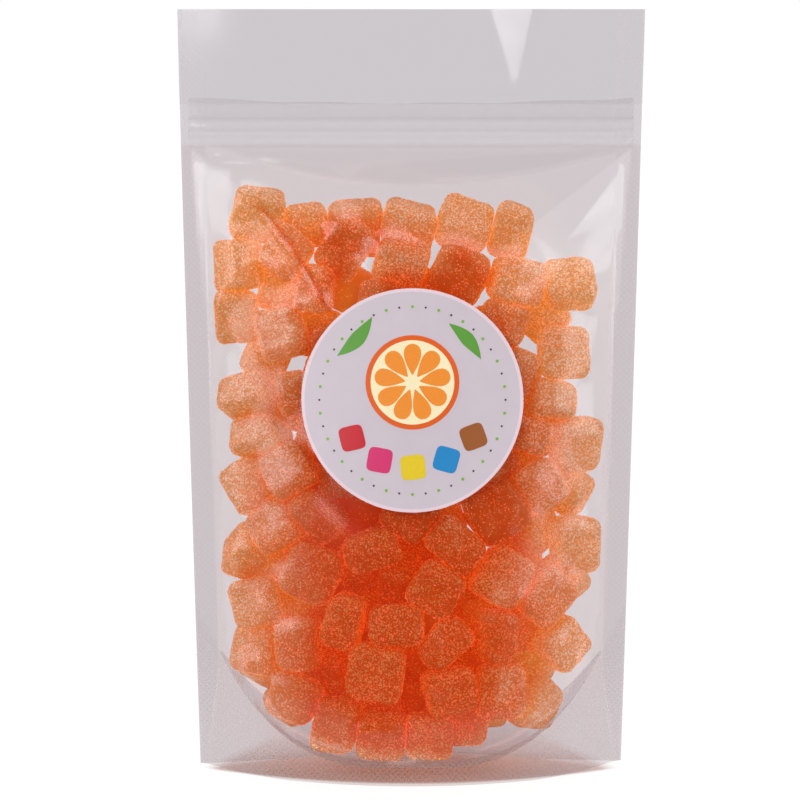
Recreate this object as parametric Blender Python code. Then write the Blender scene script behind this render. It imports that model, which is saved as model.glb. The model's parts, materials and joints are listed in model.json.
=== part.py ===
"""A filled stand-up pouch with a press-to-close strip and a round label on its front.

Everything is in metres, with +Z up. The pouch stands on its open base lens on the plane z = 0, its front
faces -Y, and the origin is on that plane, halfway between the front and the back.
"""

import math
import random

import bmesh
import bpy

# The pouch
POUCH_HEIGHT = 0.266
TOP_HALF_WIDTH = 0.080
BASE_HALF_WIDTH = 0.0742  # the sides draw in as the front and the back bow apart
NARROWING = 1.1  # how the draw-in grows from the top down
SEAL_WIDTH = 0.008
SEAL_WIDTH_AT_BASE = 0.0025  # the seals curl into the base lens
FILM_HALF = 0.0004  # half the thickness of the welded edges

# The filled body
BODY_TOP = 0.218  # where the front leaves the flat header, at the middle
SHOULDER_DROP = 0.002  # how much lower it does so beside the seals
SHOULDER_FADE = 0.020  # the height over which the bulge dies away under the header
BASE_BULGE = 0.0240  # from the middle plane to the front edge of the base
GUSSET_TOP = 0.043
BASE_CURVE = 1.0  # 1 gives the base a parabolic lens, and less gives fuller sides
BODY_CURVE = 0.70
BULGE_FALL = 0.75
FOOT_HALF_WIDTH = 0.042  # the stretch of the bottom edge that stands on the floor
LIFT_LEFT = 0.0022  # how far the two bottom corners are off the floor
LIFT_RIGHT = 0.0032

# The curved weld that joins the front to the folded bottom
WELD_LOW = 0.0085
WELD_RISE = GUSSET_TOP - WELD_LOW
WELD_POWER = 3.2
WELD_STEP = 0.0022  # the filled panel stands proud of the welded skirt by this much
WELD_STEP_HEIGHT = 0.006

# The sweets that press against the film
LUMP_HEIGHT = 0.0020
LUMP_REACH = 0.0095  # from a lump's middle to the foot of its side
LUMP_SPACING = 0.0170
LUMP_SHIFT = 0.0034
LUMP_SQUARENESS = 3.0  # 2 makes round lumps, and more makes squarer ones
HEAP_TOP = 0.197
LUMP_SEED = 7

# The press-to-close strip
STRIP_LOW = 0.2190
STRIP_HIGH = 0.2345
STRIP_HALF_LENGTH = 0.0765  # right into the side seals, which crush its ends
BAND_HALF = 0.0006
RIDGE_HALF = 0.0017
RIDGE_HEIGHT = 0.0034
RIDGE_CENTRE = 0.2262
RIB_HALF = 0.0010
RIB_HEIGHT = 0.0012
RIB_CENTRE = 0.2212

# The label
LABEL_RADIUS = 0.038
LABEL_X = 0.0005
LABEL_Z = 0.1335
LABEL_THICKNESS = 0.0003
LABEL_CALM = 0.008  # the lumps fade out over this distance round the label

GAP = 0.0003  # between neighbouring pieces
WINDOW_CUT_DEPTH = 0.02  # well past the header's thickness, so that the window is open right through

# How finely the curved surfaces are divided
BODY_COLUMNS = 34
BODY_ROWS = 52
LABEL_RINGS = 5
LABEL_SEGMENTS = 40


def clamp(value, low=0.0, high=1.0):
    """Hold a value between two limits."""
    return max(low, min(high, value))


def smooth(value):
    """Ease from 0 to 1 without a corner at either end."""
    t = clamp(value)
    return t * t * (3 - 2 * t)


def half_width(z):
    """Half the width of the pouch at a height."""
    return TOP_HALF_WIDTH - (TOP_HALF_WIDTH - BASE_HALF_WIDTH) * (1 - clamp(z / POUCH_HEIGHT)) ** NARROWING


def inner_half_width(z):
    """Half the width between the side seals."""
    curled = 1 - smooth(z / GUSSET_TOP)
    return half_width(z) - SEAL_WIDTH + (SEAL_WIDTH - SEAL_WIDTH_AT_BASE) * curled


def lift(x):
    """How far the bottom edge is above the floor."""
    reach = (abs(x) - FOOT_HALF_WIDTH) / (BASE_HALF_WIDTH - FOOT_HALF_WIDTH)
    return (LIFT_LEFT if x < 0 else LIFT_RIGHT) * clamp(reach) ** 1.5


def weld_height(x):
    """The height of the curved weld above the floor."""
    return WELD_LOW + WELD_RISE * (abs(x) / inner_half_width(GUSSET_TOP)) ** WELD_POWER


def scattered_lumps():
    """Each lump's middle and turn, in staggered rows that a seeded draw makes uneven."""
    draw = random.Random(LUMP_SEED)
    found = []
    rows = int(HEAP_TOP / LUMP_SPACING)
    columns = int(2 * BASE_HALF_WIDTH / LUMP_SPACING)
    for row in range(1, rows + 1):
        for column in range(columns + 1):
            stagger = 0.5 * (row % 2)
            x = (column - columns / 2 + stagger) * LUMP_SPACING + draw.uniform(-LUMP_SHIFT, LUMP_SHIFT)
            z = row * LUMP_SPACING + draw.uniform(-LUMP_SHIFT, LUMP_SHIFT)
            turn = draw.uniform(0, math.pi / 2)
            if z > weld_height(x) + LUMP_REACH / 2:
                found.append((x, z, math.cos(turn), math.sin(turn)))
    return found


LUMPS = scattered_lumps()


def lumps(x, z):
    """The relief of the sweets under the film: soft squares, each turned its own way."""
    total = 0.0
    for centre_x, centre_z, cosine, sine in LUMPS:
        along = abs((x - centre_x) * cosine + (z - centre_z) * sine)
        over = abs((z - centre_z) * cosine - (x - centre_x) * sine)
        reach = (along**LUMP_SQUARENESS + over**LUMP_SQUARENESS) ** (1 / LUMP_SQUARENESS) / LUMP_REACH
        if reach < 1:
            total = max(total, (1 - reach**3) ** 1.5)
    return LUMP_HEIGHT * total


def bulge(x, z, labelled):
    """How far the film stands off the middle plane, and nothing at the seals and in the header."""
    across = clamp(abs(x) / inner_half_width(z))
    top = BODY_TOP - SHOULDER_DROP * across**2
    if across >= 1 or z >= top:
        return 0.0
    base_share = 1 - smooth(z / GUSSET_TOP)
    curve = BODY_CURVE + (BASE_CURVE - BODY_CURVE) * base_share
    section = (1 - across * across) ** curve
    height = BASE_BULGE * (1 - (z / top) ** 2) ** BULGE_FALL
    fade = smooth((top - z) / SHOULDER_FADE)
    above_weld = z - weld_height(x)
    step = WELD_STEP * smooth(above_weld / WELD_STEP_HEIGHT)
    calm = smooth((math.hypot(x - LABEL_X, z - LABEL_Z) - LABEL_RADIUS) / LABEL_CALM) if labelled else 1.0
    relief = lumps(x, z) * calm * smooth(above_weld / LUMP_REACH) * clamp(3 * section)
    return height * section * fade + (step * fade + relief) * clamp(4 * section)


def make_material(name, colour, roughness, alpha=1.0):
    """A Principled material in one plain finish."""
    material = bpy.data.materials.new(name)
    material.use_nodes = True
    shader = material.node_tree.nodes["Principled BSDF"]
    shader.inputs["Base Color"].default_value = (*colour, 1.0)
    shader.inputs["Roughness"].default_value = roughness
    shader.inputs["Metallic"].default_value = 0.0
    shader.inputs["Alpha"].default_value = alpha
    return material


def link_object(name, mesh, material):
    """Put a mesh in the scene under its node's name, smooth where it's round."""
    mesh.materials.append(material)
    mesh.shade_smooth()
    mesh.set_sharp_from_angle(angle=math.radians(40))
    obj = bpy.data.objects.new(name, mesh)
    bpy.context.scene.collection.objects.link(obj)
    return obj


def mesh_from(bm, name):
    """Write a bmesh out with its faces pointing outwards."""
    bmesh.ops.recalc_face_normals(bm, faces=bm.faces)
    mesh = bpy.data.meshes.new(name)
    bm.to_mesh(mesh)
    bm.free()
    return mesh


def panel_places():
    """The grid of (x, z) places that the front and the back share, row by row from the floor up."""
    heights = [BODY_TOP * row / BODY_ROWS for row in range(BODY_ROWS + 1)]
    heights += [(BODY_TOP + STRIP_HIGH) / 2 + GAP, (STRIP_HIGH + POUCH_HEIGHT) / 2, POUCH_HEIGHT]
    rows = []
    for height in heights:
        inner = inner_half_width(height)
        outer = half_width(height)
        across = [inner * (2 * column / BODY_COLUMNS - 1) for column in range(BODY_COLUMNS + 1)]
        fade = clamp(1 - height / GUSSET_TOP)
        rows.append([(x, height + lift(x) * fade) for x in [-outer, *across, outer]])
    return rows


def add_panel(bm, side, labelled):
    """Add one face of the pouch as a grid of quads. side is -1 for the front and +1 for the back."""
    sheet = []
    for row in panel_places():
        sheet.append([bm.verts.new((x, side * (FILM_HALF + bulge(x, z, labelled)), z)) for x, z in row])
    for low, high in zip(sheet, sheet[1:]):
        for corner in range(len(low) - 1):
            bm.faces.new((low[corner], low[corner + 1], high[corner + 1], high[corner]))


def make_pouch():
    """The filled bag: front and back panels bridged round their edges, with a window for the strip."""
    bm = bmesh.new()
    add_panel(bm, -1, labelled=True)
    add_panel(bm, 1, labelled=False)
    bm.normal_update()
    rim = [edge for edge in bm.edges if edge.is_boundary]
    bmesh.ops.bridge_loops(bm, edges=rim)
    film = make_material("pouch_film", (0.80, 0.38, 0.20), 0.25, alpha=0.85)
    pouch = link_object("pouch", mesh_from(bm, "pouch"), film)
    cut_window(pouch)


def cut_window(pouch):
    """Open the header right through where the press-to-close strip lies."""
    bm = bmesh.new()
    bmesh.ops.create_cube(bm, size=1.0)
    length = 2 * (STRIP_HALF_LENGTH + GAP)
    height = STRIP_HIGH - STRIP_LOW + 2 * GAP
    bmesh.ops.scale(bm, vec=(length, WINDOW_CUT_DEPTH, height), verts=bm.verts)
    cutter = bpy.data.objects.new("window_cutter", mesh_from(bm, "window_cutter"))
    cutter.location = (0.0, 0.0, (STRIP_LOW + STRIP_HIGH) / 2)
    cutter.hide_render = True
    cutter.display_type = "WIRE"
    bpy.context.scene.collection.objects.link(cutter)
    cut = pouch.modifiers.new("window", "BOOLEAN")
    cut.operation = "DIFFERENCE"
    cut.object = cutter


def strip_outline():
    """The strip's section, as (y, z) from its foot up the back and down the front."""
    ribs = [(RIB_CENTRE, RIB_HEIGHT, RIB_HALF), (RIDGE_CENTRE, RIDGE_HEIGHT, RIDGE_HALF)]
    back = [(BAND_HALF, STRIP_LOW)]
    for centre, height, reach in ribs:
        low = centre - height / 2
        high = centre + height / 2
        chamfer = height / 4
        back += [(BAND_HALF, low), (reach, low + chamfer), (reach, high - chamfer), (BAND_HALF, high)]
    back.append((BAND_HALF, STRIP_HIGH))
    return back + [(-y, z) for y, z in reversed(back)]


def make_strip():
    """The press-to-close strip: one section extruded across the pouch."""
    bm = bmesh.new()
    section = bm.faces.new([bm.verts.new((-STRIP_HALF_LENGTH, y, z)) for y, z in strip_outline()])
    grown = bmesh.ops.extrude_face_region(bm, geom=[section])
    ends = [item for item in grown["geom"] if isinstance(item, bmesh.types.BMVert)]
    bmesh.ops.translate(bm, vec=(2 * STRIP_HALF_LENGTH, 0.0, 0.0), verts=ends)
    plastic = make_material("zip_plastic", (0.80, 0.78, 0.80), 0.35)
    link_object("zip_strip", mesh_from(bm, "zip_strip"), plastic)


def make_label():
    """The round label, bent to the front of the pouch and a gap clear of it."""
    bm = bmesh.new()
    hub = bm.verts.new((LABEL_X, 0.0, LABEL_Z))
    rings = []
    for ring in range(1, LABEL_RINGS + 1):
        radius = LABEL_RADIUS * ring / LABEL_RINGS
        turns = [2 * math.pi * segment / LABEL_SEGMENTS for segment in range(LABEL_SEGMENTS)]
        rings.append([
            bm.verts.new((LABEL_X + radius * math.cos(turn), 0.0, LABEL_Z + radius * math.sin(turn)))
            for turn in turns
        ])
    for segment in range(LABEL_SEGMENTS):
        after = (segment + 1) % LABEL_SEGMENTS
        bm.faces.new((hub, rings[0][segment], rings[0][after]))
        for inner, outer in zip(rings, rings[1:]):
            bm.faces.new((inner[segment], outer[segment], outer[after], inner[after]))
    bmesh.ops.recalc_face_normals(bm, faces=bm.faces)
    whole = bmesh.ops.extrude_face_region(bm, geom=bm.faces[:])
    outside = [item for item in whole["geom"] if isinstance(item, bmesh.types.BMVert)]
    bmesh.ops.translate(bm, vec=(0.0, -LABEL_THICKNESS, 0.0), verts=outside)
    for vert in bm.verts:
        vert.co.y -= FILM_HALF + bulge(vert.co.x, vert.co.z, True) + GAP
    paper = make_material("label_paper", (0.78, 0.73, 0.76), 0.45)
    link_object("label", mesh_from(bm, "label"), paper)


def main():
    """Clear the scene and build the pieces."""
    for obj in list(bpy.data.objects):
        bpy.data.objects.remove(obj)
    make_pouch()
    make_strip()
    make_label()


main()
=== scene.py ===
"""The looks of a filled stand-up pouch of sugared jelly sweets: the film, the sweets, the strip and the label.

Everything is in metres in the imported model's frame: +Z is up, the front faces -Y, and the pouch stands on the
plane z = 0.
"""

import json
import logging
import math
from collections.abc import Callable, Iterable, Iterator
from contextlib import contextmanager
from dataclasses import dataclass, field
from enum import Enum

import bpy
import numpy as np
from mathutils import Euler, Matrix, Vector

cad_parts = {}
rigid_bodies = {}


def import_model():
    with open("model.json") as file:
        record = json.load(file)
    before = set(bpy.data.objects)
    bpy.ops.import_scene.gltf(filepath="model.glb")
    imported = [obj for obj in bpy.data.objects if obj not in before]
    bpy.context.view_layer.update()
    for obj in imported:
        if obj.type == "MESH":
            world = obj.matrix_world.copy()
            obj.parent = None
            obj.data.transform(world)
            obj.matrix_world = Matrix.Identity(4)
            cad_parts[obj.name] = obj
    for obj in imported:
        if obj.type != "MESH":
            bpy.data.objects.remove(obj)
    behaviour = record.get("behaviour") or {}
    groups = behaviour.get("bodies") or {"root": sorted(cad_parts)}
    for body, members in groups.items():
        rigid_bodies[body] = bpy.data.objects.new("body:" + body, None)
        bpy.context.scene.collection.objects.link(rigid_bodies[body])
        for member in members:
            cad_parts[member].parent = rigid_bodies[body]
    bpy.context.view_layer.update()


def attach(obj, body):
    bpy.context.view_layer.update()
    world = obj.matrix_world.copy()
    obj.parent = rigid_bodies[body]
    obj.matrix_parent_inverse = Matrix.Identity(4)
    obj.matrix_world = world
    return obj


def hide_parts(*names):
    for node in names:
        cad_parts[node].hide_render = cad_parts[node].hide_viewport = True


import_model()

LOG = logging.getLogger("pouch")
MM = 0.001
WHITE = (1.0, 1.0, 1.0, 1.0)


# ---------------------------------------------------------------------------------------------------------------
# Small helpers


def hex_colour(code: str) -> tuple[float, float, float, float]:
    """Turn an sRGB hex value into linear red, green and blue with an alpha of 1."""
    parts = [int(code[place : place + 2], 16) / 255 for place in (0, 2, 4)]
    linear = [part / 12.92 if part <= 0.04045 else ((part + 0.055) / 1.055) ** 2.4 for part in parts]
    return (*linear, 1.0)


def add_node(
    tree: bpy.types.NodeTree,
    kind: str,
    settings: dict | None = None,
    links: dict | None = None,
) -> bpy.types.Node:
    """Add one node to a tree.

    Args:
        tree: The node tree that gets the node.
        kind: The node's type name.
        settings: Values by property name, or by the name or number of an input.
        links: Output sockets by the name or number of the input that each one feeds.

    Returns:
        The new node.
    """
    node = tree.nodes.new(kind)
    for name, value in (settings or {}).items():
        if isinstance(name, str) and hasattr(node, name):
            setattr(node, name, value)
        else:
            node.inputs[name].default_value = value
    for name, socket in (links or {}).items():
        tree.links.new(socket, node.inputs[name])
    return node


Socket = bpy.types.NodeSocket


@dataclass(frozen=True)
class Wiring:
    """A node tree that is being wired: each method adds a node, or a few, and gives the output to read next."""

    tree: bpy.types.NodeTree

    def add(self, kind: str, terms: dict, output: str | int = 0, **settings: str | bool) -> Socket:
        """Add one node.

        Args:
            kind: The node's type name without its ShaderNode in front.
            terms: What its inputs get, by name or number: values, or other nodes' outputs.
            output: The name or number of the output to give.
            settings: The node's own properties.

        Returns:
            The output.
        """
        links = {name: term for name, term in terms.items() if isinstance(term, Socket)}
        values = {name: term for name, term in terms.items() if name not in links}
        return add_node(self.tree, f"ShaderNode{kind}", {**settings, **values}, links).outputs[output]

    def place(self) -> Socket:
        """Give the place on the piece in metres."""
        return self.add("TexCoord", {}, "Object")

    def part(self, place: Socket, axis: str) -> Socket:
        """Give one coordinate of a place."""
        return self.add("SeparateXYZ", {0: place}, axis)

    def stored(self, name: str) -> Socket:
        """Read a number that the mesh stores at its vertices."""
        return self.add("Attribute", {}, "Fac", attribute_name=name)

    def shadow_ray(self) -> Socket:
        """Give 1 to the rays that look for a light, and 0 to all others."""
        return self.add("LightPath", {}, "Is Shadow Ray")

    def noise(self, place: Socket, size: float, detail: float, roughness: float = 0.5) -> Socket:
        """Add noise of a size in metres."""
        terms = {"Vector": place, "Scale": 1 / size, "Detail": detail, "Roughness": roughness}
        return self.add("TexNoise", terms, "Fac")

    def math(self, operation: str, *terms: float | Socket, clamp: bool = False) -> Socket:
        """Work one number out from others."""
        return self.add("Math", dict(enumerate(terms)), operation=operation, use_clamp=clamp)

    def ramp(self, value: Socket, start: float, end: float, low: float = 0.0, high: float = 1.0) -> Socket:
        """Carry a number from the range start to end over to low to high, and hold it there."""
        terms = {"Value": value, "From Min": start, "From Max": end, "To Min": low, "To Max": high}
        return self.add("MapRange", terms)

    def blend(self, share: Socket, first: Socket | tuple, second: Socket | tuple, kind: str = "MIX") -> Socket:
        """Mix two colours."""
        return self.add("Mix", {0: share, 6: first, 7: second}, 2, data_type="RGBA", blend_type=kind)

    def mix(self, share: Socket | float, first: Socket, second: Socket) -> Socket:
        """Mix two shaders."""
        return self.add("MixShader", {0: share, 1: first, 2: second})

    def bump(self, height: Socket, strength: float, depth: float, under: Socket | None = None) -> Socket:
        """Tilt the surface by a height pattern, if need be on top of another one."""
        terms = {"Height": height, "Strength": strength, "Distance": depth}
        return self.add("Bump", {**terms, "Normal": under} if under else terms)

    def aslant(self, bump: Socket, power: float, gain: float, least: float) -> Socket:
        """Say how much a clear skin mirrors: more where it is seen aslant."""
        facing = self.add("LayerWeight", {"Blend": 0.5, "Normal": bump}, "Facing")
        return self.math("MULTIPLY_ADD", self.math("POWER", facing, power), gain, least)

    def principled(
        self, colour: Socket, roughness: float, ior: float, bump: Socket | None = None, specular: float = 0.5
    ) -> Socket:
        """Add an opaque surface."""
        terms = {"Base Color": colour, "Roughness": roughness, "IOR": ior, "Specular IOR Level": specular}
        return self.add("BsdfPrincipled", {**terms, "Normal": bump} if bump else terms)

    def finish(self, shader: Socket) -> None:
        """Make a shader the material's surface."""
        add_node(self.tree, "ShaderNodeOutputMaterial", links={"Surface": shader})


def new_material(name: str) -> tuple[bpy.types.Material, Wiring]:
    """Make an empty node material and return it with its wiring."""
    material = bpy.data.materials.new(name)
    material.use_nodes = True
    material.node_tree.nodes.clear()
    return material, Wiring(material.node_tree)


def deselect_all() -> None:
    """Leave nothing selected, so that the next operator acts on its own piece only."""
    if bpy.context.object and bpy.context.object.mode != "OBJECT":
        bpy.ops.object.mode_set(mode="OBJECT")
    bpy.ops.object.select_all(action="DESELECT")


def make_active(obj: bpy.types.Object) -> None:
    """Select one object alone and make it the active one."""
    deselect_all()
    obj.select_set(True)
    bpy.context.view_layer.objects.active = obj


@contextmanager
def edit_mode(obj: bpy.types.Object) -> Iterator[None]:
    """Edit one object, all of which is selected at the start, and go back to object mode at the end."""
    make_active(obj)
    bpy.ops.object.mode_set(mode="EDIT")
    bpy.ops.mesh.select_all(action="SELECT")
    yield
    bpy.ops.object.mode_set(mode="OBJECT")


def turn_outwards() -> None:
    """Turn all faces of the mesh in edit mode outwards."""
    bpy.ops.mesh.select_all(action="SELECT")
    bpy.ops.mesh.normals_make_consistent(inside=False)


def give_finish(piece: bpy.types.Object, *finishes: bpy.types.Material) -> None:
    """Give a piece its materials in place of any that it has."""
    piece.data.materials.clear()
    for finish in finishes:
        piece.data.materials.append(finish)


def apply_modifiers(obj: bpy.types.Object) -> None:
    """Apply all of a piece's modifiers in their order."""
    make_active(obj)
    for modifier in list(obj.modifiers):
        bpy.ops.object.modifier_apply(modifier=modifier.name)


def join_into(name: str, parts: Iterable[bpy.types.Object]) -> bpy.types.Object:
    """Join several objects into one piece.

    Args:
        name: The piece's name.
        parts: The objects to join, the first of which stays.

    Returns:
        The joined piece, at the origin.
    """
    parts = list(parts)
    deselect_all()
    for part in parts:
        part.select_set(True)
    bpy.context.view_layer.objects.active = parts[0]
    if len(parts) > 1:
        bpy.ops.object.join()
    joined = bpy.context.object
    bpy.ops.object.transform_apply(location=True, rotation=True, scale=True)
    joined.name = name
    joined.data.name = name
    return joined


def read_places(mesh: bpy.types.Mesh) -> np.ndarray:
    """Read a mesh's vertex places as an array of three columns."""
    places = np.empty(len(mesh.vertices) * 3, np.float64)
    mesh.vertices.foreach_get("co", places)
    return places.reshape(-1, 3)


def write_places(mesh: bpy.types.Mesh, places: np.ndarray) -> None:
    """Move a mesh's vertices to the given places."""
    mesh.vertices.foreach_set("co", np.ascontiguousarray(places, np.float32).ravel())
    mesh.update()


def read_normals(mesh: bpy.types.Mesh) -> np.ndarray:
    """Read the outward directions at a mesh's vertices as an array of three columns."""
    normals = np.empty(len(mesh.vertices) * 3, np.float32)
    mesh.vertex_normals.foreach_get("vector", normals)
    return normals.reshape(-1, 3)


def write_values(mesh: bpy.types.Mesh, **named: np.ndarray) -> None:
    """Store numbers for each vertex under their attributes' names, for a material to read."""
    for name, values in named.items():
        if name not in mesh.attributes:
            mesh.attributes.new(name, "FLOAT", "POINT")
        mesh.attributes[name].data.foreach_set("value", np.ascontiguousarray(values, np.float32))


def add_grid(name: str, columns: int, rows: int) -> tuple[bpy.types.Object, np.ndarray, np.ndarray]:
    """Add a flat grid and say where each of its vertices lies on it.

    Args:
        name: The new object's name.
        columns: The number of faces across.
        rows: The number of faces up.

    Returns:
        The object, and two arrays from 0 to 1 across and up, one number for each vertex.
    """
    deselect_all()
    bpy.ops.mesh.primitive_grid_add(x_subdivisions=columns, y_subdivisions=rows, size=1.0)
    grid = bpy.context.object
    grid.name = name
    places = read_places(grid.data)
    return grid, places[:, 0] + 0.5, places[:, 1] + 0.5


def smooth(value: np.ndarray | float) -> np.ndarray | float:
    """Ease from 0 to 1 without a corner at either end."""
    eased = np.clip(value, 0.0, 1.0)
    return eased * eased * (3 - 2 * eased)


def blur(table: np.ndarray, rounds: int) -> np.ndarray:
    """Blur a table, in each round by the mean of neighbours along both of its axes."""
    for _ in range(rounds):
        for axis in (0, 1):
            table = (np.roll(table, 1, axis) + table + np.roll(table, -1, axis)) / 3
    return table


def distance_to_path(
    x: np.ndarray, z: np.ndarray, path: list[tuple[float, float]]
) -> tuple[np.ndarray, np.ndarray]:
    """Find how far places are from an open path.

    Args:
        x: The places' coordinates across.
        z: The places' heights.
        path: The path's corners as (x, z).

    Returns:
        The distances, and how far along the path the nearest point is, from 0 to 1.
    """
    best = np.full(x.shape, 1e9)
    along = np.zeros(x.shape)
    steps = len(path) - 1
    for number, ((ax, az), (bx, bz)) in enumerate(zip(path, path[1:])):
        run_x, run_z = bx - ax, bz - az
        share = np.clip(((x - ax) * run_x + (z - az) * run_z) / (run_x**2 + run_z**2), 0.0, 1.0)
        gap = np.hypot(x - ax - share * run_x, z - az - share * run_z)
        closer = gap < best
        best = np.where(closer, gap, best)
        along = np.where(closer, (number + share) / steps, along)
    return best, along


# ---------------------------------------------------------------------------------------------------------------
# The camera


@dataclass(frozen=True)
class PhotoView:
    """The camera that sees the pouch as the photograph does. Lengths are in metres and places in pixels."""

    side: int = 800
    distance: float = 1.0
    elevation: float = 7.0
    aim_height: float = 0.1313
    offset: float = -0.00375
    focal_pixels: float = 2875.0
    sensor: float = 36.0
    depth_steps: int = 12

    def eye(self) -> Vector:
        """Give the camera's place."""
        tilt = math.radians(self.elevation)
        height = self.aim_height + self.distance * math.sin(tilt)
        return Vector((self.offset, -self.distance * math.cos(tilt), height))

    def ray(self, px: float, py: float) -> Vector:
        """Give the direction from the camera through a pixel, one metre deep."""
        tilt = math.radians(self.elevation)
        forward = Vector((0.0, math.cos(tilt), -math.sin(tilt)))
        upward = Vector((0.0, math.sin(tilt), math.cos(tilt)))
        middle = self.side / 2
        across = Vector((1.0, 0.0, 0.0)) * (px - middle) / self.focal_pixels
        return forward + across + upward * (middle - py) / self.focal_pixels

    def at_depth(self, px: float, py: float, depth: float) -> Vector:
        """Give the point that a pixel shows on the upright plane y = depth."""
        start = self.eye()
        ray = self.ray(px, py)
        return start + ray * ((depth - start.y) / ray.y)

    def on_front(self, px: float, py: float, form: "PouchForm", inward: float = 0.0) -> Vector:
        """Give the point that a pixel shows on the pouch's front.

        Args:
            px: Pixels from the photograph's left edge.
            py: Pixels from its top edge.
            form: The pouch's form.
            inward: How far behind the front the point lies.

        Returns:
            The point.
        """
        depth = 0.0
        point = self.at_depth(px, py, depth)
        for _ in range(self.depth_steps):
            bulge = float(form.bulge(np.array([point.x]), np.array([point.z]))[0])
            depth = 0.5 * depth + 0.5 * (inward - form.film_half - bulge)
            point = self.at_depth(px, py, depth)
        return point

    def build(self) -> bpy.types.Object:
        """Make the camera and hand it to the scene."""
        data = bpy.data.cameras.new("photo_camera")
        data.sensor_width = self.sensor
        data.lens = self.focal_pixels * self.sensor / self.side
        data.clip_start = 0.01
        data.clip_end = 50.0
        camera = bpy.data.objects.new("photo_camera", data)
        camera.location = self.eye()
        camera.rotation_euler = Euler((math.radians(90.0 - self.elevation), 0.0, 0.0))
        bpy.context.scene.collection.objects.link(camera)
        bpy.context.scene.camera = camera
        return camera


# ---------------------------------------------------------------------------------------------------------------
# The pouch's form, which film, sweets and label share


@dataclass(frozen=True)
class PouchForm:
    """The pouch's driving sizes in metres, as the solids have them, and the form that they give."""

    height: float = 0.266
    top_half_width: float = 0.080
    base_half_width: float = 0.0742
    narrowing: float = 1.1
    seal_width: float = 0.008
    seal_width_at_base: float = 0.0025
    film_half: float = 0.0004
    body_top: float = 0.218
    shoulder_drop: float = 0.002
    shoulder_fade: float = 0.020
    base_bulge: float = 0.0240
    gusset_top: float = 0.043
    base_curve: float = 1.0
    body_curve: float = 0.70
    bulge_fall: float = 0.75
    foot_half_width: float = 0.042
    lift_left: float = 0.0022
    lift_right: float = 0.0032
    weld_low: float = 0.0085
    weld_power: float = 3.2
    weld_step: float = 0.0022
    weld_step_height: float = 0.006
    label_radius: float = 0.038
    label_x: float = 0.0005
    label_z: float = 0.1335
    floor_gap: float = 0.0016

    def half_width(self, z: np.ndarray) -> np.ndarray:
        """Give half the pouch's width at a height."""
        draw_in = (1 - np.clip(z / self.height, 0.0, 1.0)) ** self.narrowing
        return self.top_half_width - (self.top_half_width - self.base_half_width) * draw_in

    def inner_half_width(self, z: np.ndarray) -> np.ndarray:
        """Give half the width between the side seals at a height."""
        curled = 1 - smooth(z / self.gusset_top)
        return self.half_width(z) - self.seal_width + (self.seal_width - self.seal_width_at_base) * curled

    def lift(self, x: np.ndarray) -> np.ndarray:
        """Give how far the bottom edge is off the floor."""
        reach = (np.abs(x) - self.foot_half_width) / (self.base_half_width - self.foot_half_width)
        return np.where(x < 0, self.lift_left, self.lift_right) * np.clip(reach, 0.0, 1.0) ** 1.5

    def weld_height(self, x: np.ndarray) -> np.ndarray:
        """Give the height of the curved weld between the front and the folded bottom."""
        widest = self.inner_half_width(np.array(self.gusset_top))
        return self.weld_low + (self.gusset_top - self.weld_low) * (np.abs(x) / widest) ** self.weld_power

    def bulge(self, x: np.ndarray, z: np.ndarray) -> np.ndarray:
        """Give how far the smooth film stands off the middle plane."""
        across = np.clip(np.abs(x) / self.inner_half_width(z), 0.0, 1.0)
        top = self.body_top - self.shoulder_drop * across**2
        base_share = 1 - smooth(z / self.gusset_top)
        curve = self.body_curve + (self.base_curve - self.body_curve) * base_share
        section = (1 - across * across) ** curve
        fall = np.clip(1 - (np.clip(z, 0.0, None) / top) ** 2, 0.0, 1.0) ** self.bulge_fall
        fade = smooth((top - z) / self.shoulder_fade)
        step = self.weld_step * smooth((z - self.weld_height(x)) / self.weld_step_height)
        full = self.base_bulge * fall * section * fade + step * fade * np.clip(4 * section, 0.0, 1.0)
        return np.where((across < 1) & (z < top), full, 0.0)

    def gusset(self, x: np.ndarray, y: np.ndarray) -> np.ndarray:
        """Give the height of the bottom film, which hangs between the front weld and the back weld."""
        weld = self.weld_height(x)
        reach = np.maximum(self.bulge(x, weld), 1 * MM)
        sag = np.minimum(weld - self.floor_gap, 0.34 * reach)
        return weld - sag * np.clip(1 - (y / reach) ** 2, 0.0, 1.0)


# ---------------------------------------------------------------------------------------------------------------
# Finishes


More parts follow.
